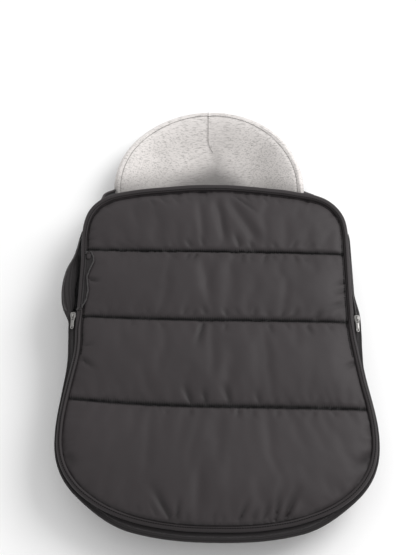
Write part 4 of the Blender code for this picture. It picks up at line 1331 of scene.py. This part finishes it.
def teeth(name, path, offsets, height, thick=0.0008):
    """Coil turns of one or both zip halves along a path, each a small rounded closed body."""
    bm = bmesh.new()
    wide = TOOTH_PITCH * (0.30 if len(offsets) > 1 else 0.56)
    pitch = TOOTH_PITCH / len(offsets)
    for count, (middle, out, along) in enumerate(spaced(path, pitch, 0.0)):
        low, high = offsets[count % len(offsets)]
        rings = []
        for share, size in ((0.0, 0.55), (0.25, 1.0), (0.75, 1.0), (1.0, 0.55)):
            centre = middle + UP * height + out * mix(low, high, share)
            turns = [math.pi * k / 3.0 for k in range(6)]
            rings.append([bm.verts.new(centre + along * math.cos(turn) * wide * size
                                       + UP * math.sin(turn) * thick * size)
                          for turn in turns])
        skin(bm, rings)
    return solid(name, bm, (coil_plastic,))


# Size and height of the rings of a sewn tape end
TAB_RINGS = ((1.0, 0.0002), (1.03, 0.0009), (0.98, 0.0017), (0.80, 0.0021), (0.40, 0.0023))


def rounded_tab(name, base, half_wide, half_long):
    """Small cushion-like patch of cloth with rounded corners, lying flat."""
    bm = bmesh.new()
    count = 28
    rings = []
    for share, rise in TAB_RINGS:
        ring = []
        for k in range(count):
            turn = 2.0 * math.pi * k / count
            x = signed_power(math.cos(turn), 0.7) * half_wide * share
            y = signed_power(math.sin(turn), 0.8) * half_long * share
            ring.append(bm.verts.new((base.x + x, base.y + y, base.z + rise)))
        rings.append(ring)
    skin(bm, rings)
    return solid(name, bm, (binding_cloth,))


def zip_centre(x, y):
    """Offset of the zip's middle from the apron's edge: it tucks in where the wall does."""
    return min(ZIP_CENTRE, wall_reach(x, y) - ZIP_INSET)


def make_closed_zip():
    """Inner tape and joined coil where the zip is shut."""
    edge = [(p + out * QUILT_INSET, out) for p, out in with_normals(band_line(BAND_STEP))]
    closed = between(edge, -1.0, -0.002)
    centres = [zip_centre(p.x, p.y) for p, _ in closed]

    def inner_tape(n):
        c = centres[n]
        return [(-0.0045, -0.0057), (c - 0.0004, -0.0059), (c - 0.0001, -0.0054),
                (c - 0.0006, -0.0047), (-0.0045, -0.0049)]

    inner = strip("apron_zip_tape_closed", closed, inner_tape, tape_cloth)
    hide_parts("apron_zip_tape")
    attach(inner, "boot")
    middle = [(p + out * c, out) for (p, out), c in zip(closed, centres)]
    both = teeth("zip_teeth_closed", middle, ((-0.0016, 0.0004), (-0.0004, 0.0016)), -0.0053)
    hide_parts("apron_zip_coil")
    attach(both, "boot")


def make_boot_zip():
    """Outer tape and coils along the wall's top, with the tapes' ends and the stitches."""
    run = between(wall_path, -1.0, ZIP_TOP_Y)
    opened = [smooth((p.y - 0.002) / 0.012) * smooth((ZIP_TOP_Y - 0.004 - p.y) / 0.02)
              * (p.x < 0.0) for p, _ in run]

    def outer_tape(n):
        """Flat lip beside the closed zip; on the open left side the pleated inner side too."""
        p = run[n][0]
        turn_in = min(max(wall_reach(p.x, p.y) - 0.0050, LIP_WIDTH), 0.0175)
        width = mix(LIP_WIDTH, turn_in, opened[n])
        places = []
        for share in steps(0.0, 1.0, 18):
            swell = math.sin(math.pi * share)
            pleat = math.sin(2.0 * math.pi * (2.7 * share + 0.6 * p.y / 0.05))
            z = 0.0014 + 0.0002 * swell
            z += opened[n] * (0.0011 * pleat * swell - 0.0050 * share ** 1.6)
            places.append((0.0010 - (width + 0.0010) * share, z))
        under = [(o, z - 0.0008) for o, z in reversed(places)]
        return places + under + [(0.0022, -0.0022), (0.0030, -0.0020), (0.0022, 0.0006)]

    outer = strip("boot_zip_tape_outer", run, outer_tape, tape_cloth)
    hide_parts("boot_zip_tape")
    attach(outer, "boot")
    for name, sign in (("left_boot_teeth", -1.0), ("right_boot_teeth", 1.0)):
        half = [(p + out * mix(-0.0030, 0.0002, share) + UP * 0.0018, out)
                for (p, out), share in zip(run, opened) if p.x * sign > 0.0 and p.y > 0.0062]
        row = teeth(name, half, ((-0.0010, 0.0010),), 0.0)
        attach(row, "boot")
        if sign < 0.0:
            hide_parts("boot_zip_coil")
    for name, sign in (("left", -1.0), ("right", 1.0)):
        place = min((p for p, _ in run if p.x * sign > 0.0), key=lambda p: abs(p.y - ZIP_TOP_Y))
        base = place + Vector((-0.0060 * sign, 0.0, 0.0012))
        tab = rounded_tab(name + "_boot_tape_end", base, 0.0046, 0.0060)
        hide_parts(name + "_boot_tape_tab")
        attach(tab, "boot")
    row = [(p + out * 0.0006 + UP * 0.0017, out) for p, out in run if p.y < 0.0]
    sewn = stitches("zip_tape_stitches", row, TAPE_STITCH, dark_thread)
    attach(sewn, "boot")


make_closed_zip()
make_boot_zip()


# Reach of the loose left half inwards from the apron's edge, as (y, distance)
LOOSE_REACH = ((0.0060, 0.0008), (0.0098, 0.0038), (0.0150, 0.0092), (0.0240, 0.0135),
               (0.0400, 0.0156), (0.0530, 0.0138), (0.0660, 0.0117), (0.0780, 0.0150),
               (0.0930, 0.0206), (0.1020, 0.0200), (0.1080, 0.0165))
# Reach of the hanging right half
HANGING_REACH = ((0.0100, -0.0040), (0.0200, -0.0038), (0.0450, -0.0012), (0.1080, -0.0010))
LOOSE_WIDTH = 0.0016


def make_free_half(name, sign, stops):
    """Apron half of the open zip: the left folded in on the quilt, the right hanging."""
    turned_up = sign < 0.0
    count = 60
    ys = steps(stops[0][0], FREE_TAPE_END_Y, count)
    reach_at = [sum(stop_value(stops, y + step * 0.0015) for step in (-1, 0, 1)) / 3.0
                for y in ys]
    path = [(Vector((sign * apron_half_width(y), y, edge_height(y))),
             Vector((-sign, 0.0, 0.0))) for y in ys]

    def height(o, n):
        """Height of the tape's underside over the band, its outer fall or the quilt."""
        point, out = path[n]
        if not turned_up:
            return -0.0058
        if o >= QUILT_INSET + 0.0006:
            return max(quilt_top(point.x + out.x * o, point.y) - point.z + 0.0004, 0.0030)
        if o >= 0.0:
            return 0.0050 * rounded((o - 0.0035) / 0.0062, 2.5)
        return mix(0.0022, -0.0050, smooth(-o / 0.0035))

    def outline(n):
        root = QUILT_INSET - 0.0006 if turned_up else 0.0030
        reach = reach_at[n]
        if abs(reach - root) < LOOSE_WIDTH:
            reach = root + LOOSE_WIDTH
        places = [(o, height(o, n) + 0.0009) for o in steps(root, reach, 8)]
        return places + [(o, z - 0.0007) for o, z in reversed(places)]

    tape = strip(name + "_loose_tape", path, outline, tape_cloth)
    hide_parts(name + "_free_tape")
    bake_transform(tape)
    edge = []
    for n, (point, out) in enumerate(path):
        o, z = outline(n)[8]
        edge.append((point + out * o + UP * (z + 0.0004), out))
    if turned_up:
        round_radius = (reach_at[-1] - QUILT_INSET) / 2.0
        middle, out = edge[-1]
        middle = middle - out * round_radius
        for k in range(1, 13):
            turn = math.pi * k / 12.0
            edge.append((middle + out * round_radius * math.cos(turn)
                         + Vector((0.0, 1.1 * round_radius * math.sin(turn), 0.0)), out))
    row = teeth(name + "_loose_teeth", edge, ((-0.0013, 0.0013),), 0.0004, 0.0012)
    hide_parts(name + "_free_coil")
    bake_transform(row)
    if turned_up:
        o = QUILT_INSET + 0.0022
        sewn = [(point + out * o + UP * (height(o, n) + 0.0012), out)
                for n, (point, out) in enumerate(path) if reach_at[n] > QUILT_INSET + 0.0040]
        row = stitches("left_loose_stitches", sewn, LOOSE_STITCH, dark_thread)
        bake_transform(row)
    low = height(reach_at[-1], count)
    if turned_up:
        make_tape_end(name, path[-1], mix(QUILT_INSET, reach_at[-1], 0.5), low, 0.0034)
    else:
        make_tape_end(name, path[-1], 0.0010, low, 0.0042)


def make_tape_end(name, place, offset, low, half_wide):
    """Rounded cloth end sewn over the zip half's upper end."""
    point, out = place
    x = point.x + out.x * offset
    base = Vector((x, FREE_TAPE_END_Y - 0.0022, point.z + low))
    tab = rounded_tab(name + "_tape_end", base, half_wide, 0.0066)
    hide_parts(name + "_tape_tab")
    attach(tab, "mid_flap")
    row = [(Vector((x + across, FREE_TAPE_END_Y + 0.0012, base.z + 0.0024)),
            Vector((0.0, 1.0, 0.0))) for across in (-0.0040, 0.0040)]
    sewn = stitches(name + "_end_stitches", row, END_STITCH, dark_thread)
    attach(sewn, "mid_flap")


make_free_half("left", -1.0, LOOSE_REACH)
make_free_half("right", 1.0, HANGING_REACH)


# Sliders and pullers
PLATE_LOW = EDGE_HEIGHT - ZIP_DROP + 0.0028
PLATE_THICKNESS = 0.0013
UNDER_TOP = EDGE_HEIGHT - ZIP_DROP - 0.0010
UNDER_THICKNESS = 0.0012
BAIL_FOOT = PLATE_LOW + 0.0011
PULLER_AXIS_Y = -0.0016
PULLER_AXIS_Z = PLATE_LOW + 0.0023
PULLER_HALF_THICKNESS = 0.0006


def bevelled(item, width, segments, angle):
    bevel = item.modifiers.new("bevel", "BEVEL")
    bevel.width = width
    bevel.segments = segments
    bevel.limit_method = "ANGLE"
    bevel.angle_limit = math.radians(angle)


def shield(swell):
    """Slider plate seen from above: wide at the head end, waisted to the foot end."""
    half = SLIDER_LENGTH / 2.0
    ring = []
    for k in range(24):
        turn = 2.0 * math.pi * k / 24.0
        y = half * signed_power(math.sin(turn), 0.6)
        wide = mix(0.0036, 0.0045 + swell, smooth((y + half) / (2.0 * half)))
        ring.append((wide * signed_power(math.cos(turn), 0.6), y))
    return ring


def make_rod(name, points, radius, home):
    """Round bar through some points."""
    curve = bpy.data.curves.new(name, "CURVE")
    curve.dimensions = "3D"
    curve.bevel_depth = radius
    curve.bevel_resolution = 4
    curve.use_fill_caps = True
    spline = curve.splines.new("POLY")
    spline.points.add(len(points) - 1)
    for target, place in zip(spline.points, points):
        target.co = (*place, 1.0)
    curve.materials.append(silver)
    item = add_object(name, curve)
    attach(item, home)


def make_slider(name, x):
    bm = bmesh.new()
    for low, high, swell in ((PLATE_LOW, PLATE_LOW + PLATE_THICKNESS, 0.0),
                             (UNDER_TOP - UNDER_THICKNESS, UNDER_TOP, -0.0002)):
        skin(bm, [[bm.verts.new((px, py, z)) for px, py in shield(swell)] for z in (low, high)])
    body = solid(name + "_slider_body", bm, (silver,))
    body.location = (x, 0.0, 0.0)
    bevelled(body, 0.00038, 3, 30.0)
    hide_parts(name + "_slider")
    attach(body, name + "_zip_slider")
    turns = [math.pi * k / 12.0 for k in range(13)]
    arch = [(x, -0.0036 * math.cos(turn), BAIL_FOOT + 0.0029 * math.sin(turn) ** 0.6)
            for turn in turns]
    make_rod(name + "_slider_bail", arch, 0.00075, name + "_zip_slider")
    neck = [(x, 0.0046, z) for z in (UNDER_TOP - 0.0006, BAIL_FOOT)]
    make_rod(name + "_slider_neck", neck, 0.0007, name + "_zip_slider")


def mirrored(side, low=()):
    """Closed outline from its right side, listed from the top down, and its low end."""
    return side + list(low) + [(-x, y) for x, y in reversed(side)]


def puller_loops():
    """Outline, eye and hole of the puller, seen flat with its axis at the origin."""
    side = [(0.0024, 0.0004), (0.0029, -0.0010), (0.0028, -0.0068), (0.0025, -0.0090),
            (0.0024, -0.0150)]
    turns = [-math.pi * k / 12.0 for k in range(13)]
    low = [(0.0025 * math.cos(turn), -0.0199 + 0.0027 * math.sin(turn)) for turn in turns]
    eye = [(0.0015, -0.0008), (0.0015, -0.0062), (0.0009, -0.0067)]
    turns = [2.0 * math.pi * k / 14.0 for k in range(14)]
    hole = [(0.00115 * math.cos(turn), -0.0196 + 0.00115 * math.sin(turn)) for turn in turns]
    return mirrored(side, low), mirrored(eye), hole


def inside(p, loop):
    odd = False
    for (ax, ay), (bx, by) in zip(loop[-1:] + loop[:-1], loop):
        if (ay > p.y) != (by > p.y) and p.x < (bx - ax) * (p.y - ay) / (by - ay) + ax:
            odd = not odd
    return odd


def make_puller(name, x):
    loops = puller_loops()
    points, edges = [], []
    for loop in loops:
        first = len(points)
        edges += [(first + k, first + (k + 1) % len(loop)) for k in range(len(loop))]
        points += [Vector(p) for p in loop]
    out = geometry.delaunay_2d_cdt(points, edges, [], 0, 1e-8)
    places, triangles = out[0], out[2]
    bm = bmesh.new()
    verts = [bm.verts.new((p.x, p.y, -PULLER_HALF_THICKNESS)) for p in places]
    base = []
    for triangle in triangles:
        centre = sum((places[n] for n in triangle), Vector((0.0, 0.0))) / 3.0
        if [inside(centre, loop) for loop in loops] == [True, False, False]:
            base.append(bm.faces.new([verts[n] for n in triangle]))
    for v in bmesh.ops.extrude_face_region(bm, geom=base)["geom"]:
        if isinstance(v, bmesh.types.BMVert):
            v.co.z = PULLER_HALF_THICKNESS
    bmesh.ops.delete(bm, geom=[v for v in bm.verts if not v.link_faces], context="VERTS")
    plate = solid(name + "_puller_plate", bm, (silver,))
    plate.location = (x, PULLER_AXIS_Y, PULLER_AXIS_Z)
    bevelled(plate, 0.00025, 2, 50.0)
    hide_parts(name + "_puller")
    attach(plate, name + "_zip_puller")


for side_name, side_x in (("left", -HALF_WIDTH - ZIP_CENTRE), ("right", HALF_WIDTH + ZIP_CENTRE)):
    make_slider(side_name, side_x)
    make_puller(side_name, side_x)


# Back panel
SLOTS = {
    "left_shoulder_slot": (-0.055, 0.205),
    "right_shoulder_slot": (0.055, 0.205),
    "left_waist_slot": (-0.100, 0.035),
    "right_waist_slot": (0.100, 0.035),
    "crotch_slot": (0.0, -0.045),
}
SLOT_CUT = (0.0500, 0.0130, 0.06)


# The fan where the pad sinks under the apron and the marl carries painted shade: its tip's place and how
# steeply its left and right sides fall
FAN_TIP = (0.010, 0.374)
FAN_SLOPES = (0.50, 0.74)
FAN_FADE = 0.020


def pocket_reach(x, y):
    """How far a place lies inside the fan where the pad sinks under the apron and the marl carries
    painted shade.
    """
    slope = FAN_SLOPES[0] if x < FAN_TIP[0] else FAN_SLOPES[1]
    return FAN_TIP[1] - y - slope * abs(x - FAN_TIP[0])


def panel_low(share):
    return PANEL_FOOT_Y - PANEL_FOOT_LENGTH * rounded(share, FOOT_ROUNDNESS)


def panel_gap(x, y):
    """Rough distance from a point to the panel's edge."""
    if y > PANEL_HEAD_Y:
        return (1.0 - math.hypot(x / PANEL_HALF_WIDTH, beyond_head(y))) * PANEL_HALF_WIDTH
    side = panel_half_width(y) - abs(x)
    if y < PANEL_FOOT_Y:
        share = max(min(x / PANEL_FOOT_HALF_WIDTH, 1.0), -1.0)
        return max(min(side, y - panel_low(share)), 0.0)
    return side


def pad_top(share, x, y):
    """Height of the marl side, without the lift of the rim."""
    gap = panel_gap(x, y)
    top = PANEL_TOP - PANEL_HOLLOW * (1.0 - share * share)
    top -= RIM_ROLL * (1.0 - smooth(gap / RIM_TURN))
    top -= RIM_GROOVE * bell(gap - RIM_SEAM, 0.0020)
    top += PAD_SOFTNESS * noise.noise(Vector((x * 17.0, y * 17.0, 2.0))) * smooth(gap / 0.03)
    top -= DART_DEPTH * smooth((y - 0.398) / 0.010) * bell(x - DART_X, 0.0030)
    crease_x = DART_X - 0.25 * (y - DART_LOW_Y)
    crease = smooth((y - 0.352) / 0.02) * smooth((0.404 - y) / 0.008)
    top -= DART_DEPTH * crease * bell(x - crease_x, 0.0035)
    sunk = smooth((pocket_reach(x, y) + FAN_FADE) / 0.075)
    return top - POCKET_DEPTH * sunk * smooth((y - 0.21) / 0.05)


def on_pad(x, y, lift=0.0003):
    """Place just over the marl side."""
    share = max(min(x / PANEL_HALF_WIDTH, 1.0), -1.0)
    return Vector((x + head_shift(y), y, pad_top(share, x, y) + rim_lift(x, y) + lift))


def panel_grids(columns, rows):
    """Places of the marl side and of the underside, column by column."""
    upper, lower = [], []
    for i in range(columns + 1):
        share = math.sin(math.pi * (i / columns - 0.5))
        head = PANEL_HEAD_Y + PANEL_HEAD_LENGTH * rounded(share, 2.0)
        tops, lows = [], []
        for y in steps(panel_low(share), head, rows):
            x = share * panel_half_width(y)
            edge = 1.0 - smooth(panel_gap(x, y) / RIM_TURN)
            low = 0.0018 * edge * smooth((y - 0.20) / 0.05)
            lift = rim_lift(x, y)
            tops.append((x + head_shift(y), y, pad_top(share, x, y) + lift))
            lows.append((x + head_shift(y), y, lift + low))
        upper.append(tops)
        lower.append(lows)
    return upper, lower


def cut_slots(pad):
    cutters = []
    for name, (x, y) in SLOTS.items():
        bm = bmesh.new()
        bmesh.ops.create_cube(bm, size=1.0, matrix=Matrix.Translation((x, y, 0.01))
                              @ Matrix.Diagonal((*SLOT_CUT, 1.0)))
        mesh = bpy.data.meshes.new(name + "_cutter")
        bm.to_mesh(mesh)
        bm.free()
        cutters.append(add_object(name + "_cutter", mesh))
        change = pad.modifiers.new("slot", "BOOLEAN")
        change.operation = "DIFFERENCE"
        change.solver = "EXACT"
        change.object = cutters[-1]
    bpy.context.view_layer.update()
    seen = pad.evaluated_get(bpy.context.evaluated_depsgraph_get())
    final = bpy.data.meshes.new_from_object(seen)
    pad.modifiers.clear()
    pad.data = final
    for cutter in cutters:
        bpy.data.objects.remove(cutter, do_unlink=True)


def make_panel():
    bm = bmesh.new()
    two_skins(bm, *panel_grids(84, 150))
    pad = solid("back_pad", bm, (marl, nylon))
    cut_slots(pad)
    # Painted shade: how much the marl's colour is darkened in the fan under the apron's top edge.
    hollow = pad.data.attributes.new("hollow", "FLOAT", "POINT")
    for n, v in enumerate(pad.data.vertices):
        x, y = v.co.x - head_shift(v.co.y), v.co.y
        hollow.data[n].value = smooth((pocket_reach(x, y) + FAN_FADE) / 0.068)
    pad.data.set_sharp_from_angle(angle=math.radians(45.0))
    hidden = ["back_" + part + layer for part in ("foot", "seat", "middle", "head")
              for layer in ("_shell", "_wadding")]
    hidden += ["left_crotch_seam", "right_crotch_seam"]
    hidden += [side + row for side in ("left", "middle", "right")
               for row in ("_waist_seam", "_shoulder_seam")]
    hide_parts("back_lining", *hidden)
    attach(pad, "boot")


def sew_panel():
    """Stitches along the rim and at the dart."""
    rim = []
    turns = 150
    for k in range(turns + 1):
        turn = math.pi * (k / turns * 1.16 - 0.08)
        rim.append(on_pad(-(PANEL_HALF_WIDTH - RIM_SEAM) * math.cos(turn),
                          PANEL_HEAD_Y + (PANEL_HEAD_LENGTH - RIM_SEAM) * math.sin(turn),
                          0.0003 + 0.0012 * max(math.sin(turn), 0.0) ** 6.0))
    sewn = stitches("rim_stitches", with_normals(rim), RIM_STITCH, grey_thread)
    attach(sewn, "boot")
    dart = [on_pad(DART_X - 0.003 * k / 15.0 + 0.009 * max(1.0 - k / 4.0, 0.0) ** 1.5,
                   mix(0.376, 0.437, k / 15.0), 0.0022) for k in range(16)]
    sewn = stitches("dart_stitches", with_normals(dart), DART_STITCH, grey_thread)
    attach(sewn, "boot")


make_panel()
sew_panel()


# The cloth lies a little askew, as in the photograph
ASKEW = ("apron_quilt", "collar_quilt", "top_binding", "side_band", "gusset",
         "apron_zip_tape_closed", "zip_teeth_closed", "boot_zip_tape_outer",
         "zip_tape_stitches", "left_boot_teeth", "right_boot_teeth")
ASKEW_STARTS = ("binding_stitches", "side_stitches", "seam_")


def lie_askew():
    """Shifts the toe a few millimetres to the right and rounds off the shoulders' top."""
    for item in bpy.data.objects:
        if item.name not in ASKEW and not item.name.startswith(ASKEW_STARTS):
            continue
        for v in item.data.vertices:
            x, y = v.co.x, v.co.y
            high = smooth((v.co.z - 0.004) / 0.040) if item.name == "gusset" else 1.0
            v.co.x += TOE_SHIFT * high * smooth((-0.012 - y) / 0.060)
            if x > 0.0:
                spread = TOE_SPREAD * high * min(x / 0.2, 1.0)
                v.co.x += spread * smooth((-0.09 - y) / 0.10)
                v.co.y -= 0.5 * spread * smooth((-0.17 - y) / 0.08)
            if item.name != "gusset":
                side = smooth(abs(x) / 0.10) * (1.0 - smooth((abs(x) - 0.125) / 0.06))
                v.co.y -= SHOULDER_DROP * side * smooth((y - 0.14) / 0.09)
            if x < 0.0:
                v.co.x -= CORNER_SPREAD * smooth((y - 0.10) / 0.04)


lie_askew()


# CAD nodes that stay get worked materials
def repaint(node, made):
    item = frame["nodes"][node]
    item.data.materials.clear()
    item.data.materials.append(made)


for slot_name in SLOTS:
    repaint(slot_name + "_facing", binding_cloth)
repaint("head_strap", webbing)


# Floor, light and colour
PAPER = (0.95, 0.95, 0.95)
FLOOR_Z = -0.0004
WORLD_STRENGTH = 0.74


def soft_light(name, place, target, size, power):
    data = bpy.data.lights.new(name, "AREA")
    data.shape = "RECTANGLE"
    data.size, data.size_y = size
    data.energy = power
    lamp = add_object(name, data)
    lamp.location = place
    aim = Vector(target) - Vector(place)
    lamp.rotation_euler = aim.to_track_quat("-Z", "Y").to_euler()


def make_stage():
    mesh = bpy.data.meshes.new("floor")
    bm = bmesh.new()
    bmesh.ops.create_grid(bm, x_segments=1, y_segments=1, size=6.0)
    bm.to_mesh(mesh)
    bm.free()
    mesh.materials.append(Nodes("floor_paper", PAPER, 0.9).material)
    floor = add_object("floor", mesh)
    floor.location = (0.0, 0.0, FLOOR_Z)
    world = bpy.data.worlds.new("studio")
    world.use_nodes = True
    background = world.node_tree.nodes["Background"]
    background.inputs["Color"].default_value = (1.0, 1.0, 1.0, 1.0)
    background.inputs["Strength"].default_value = WORLD_STRENGTH
    bpy.context.scene.world = world
    soft_light("key_softbox", (1.6, 0.7, 1.9), (0.0, 0.0, 0.1), (1.5, 1.5), 38.0)
    soft_light("sheen_softbox", (1.2, 1.8, 1.5), (0.1, 0.1, 0.1), (1.2, 0.8), 8.0)
    bpy.context.scene.view_settings.view_transform = "Standard"
    bpy.context.scene.view_settings.look = "None"


make_stage()
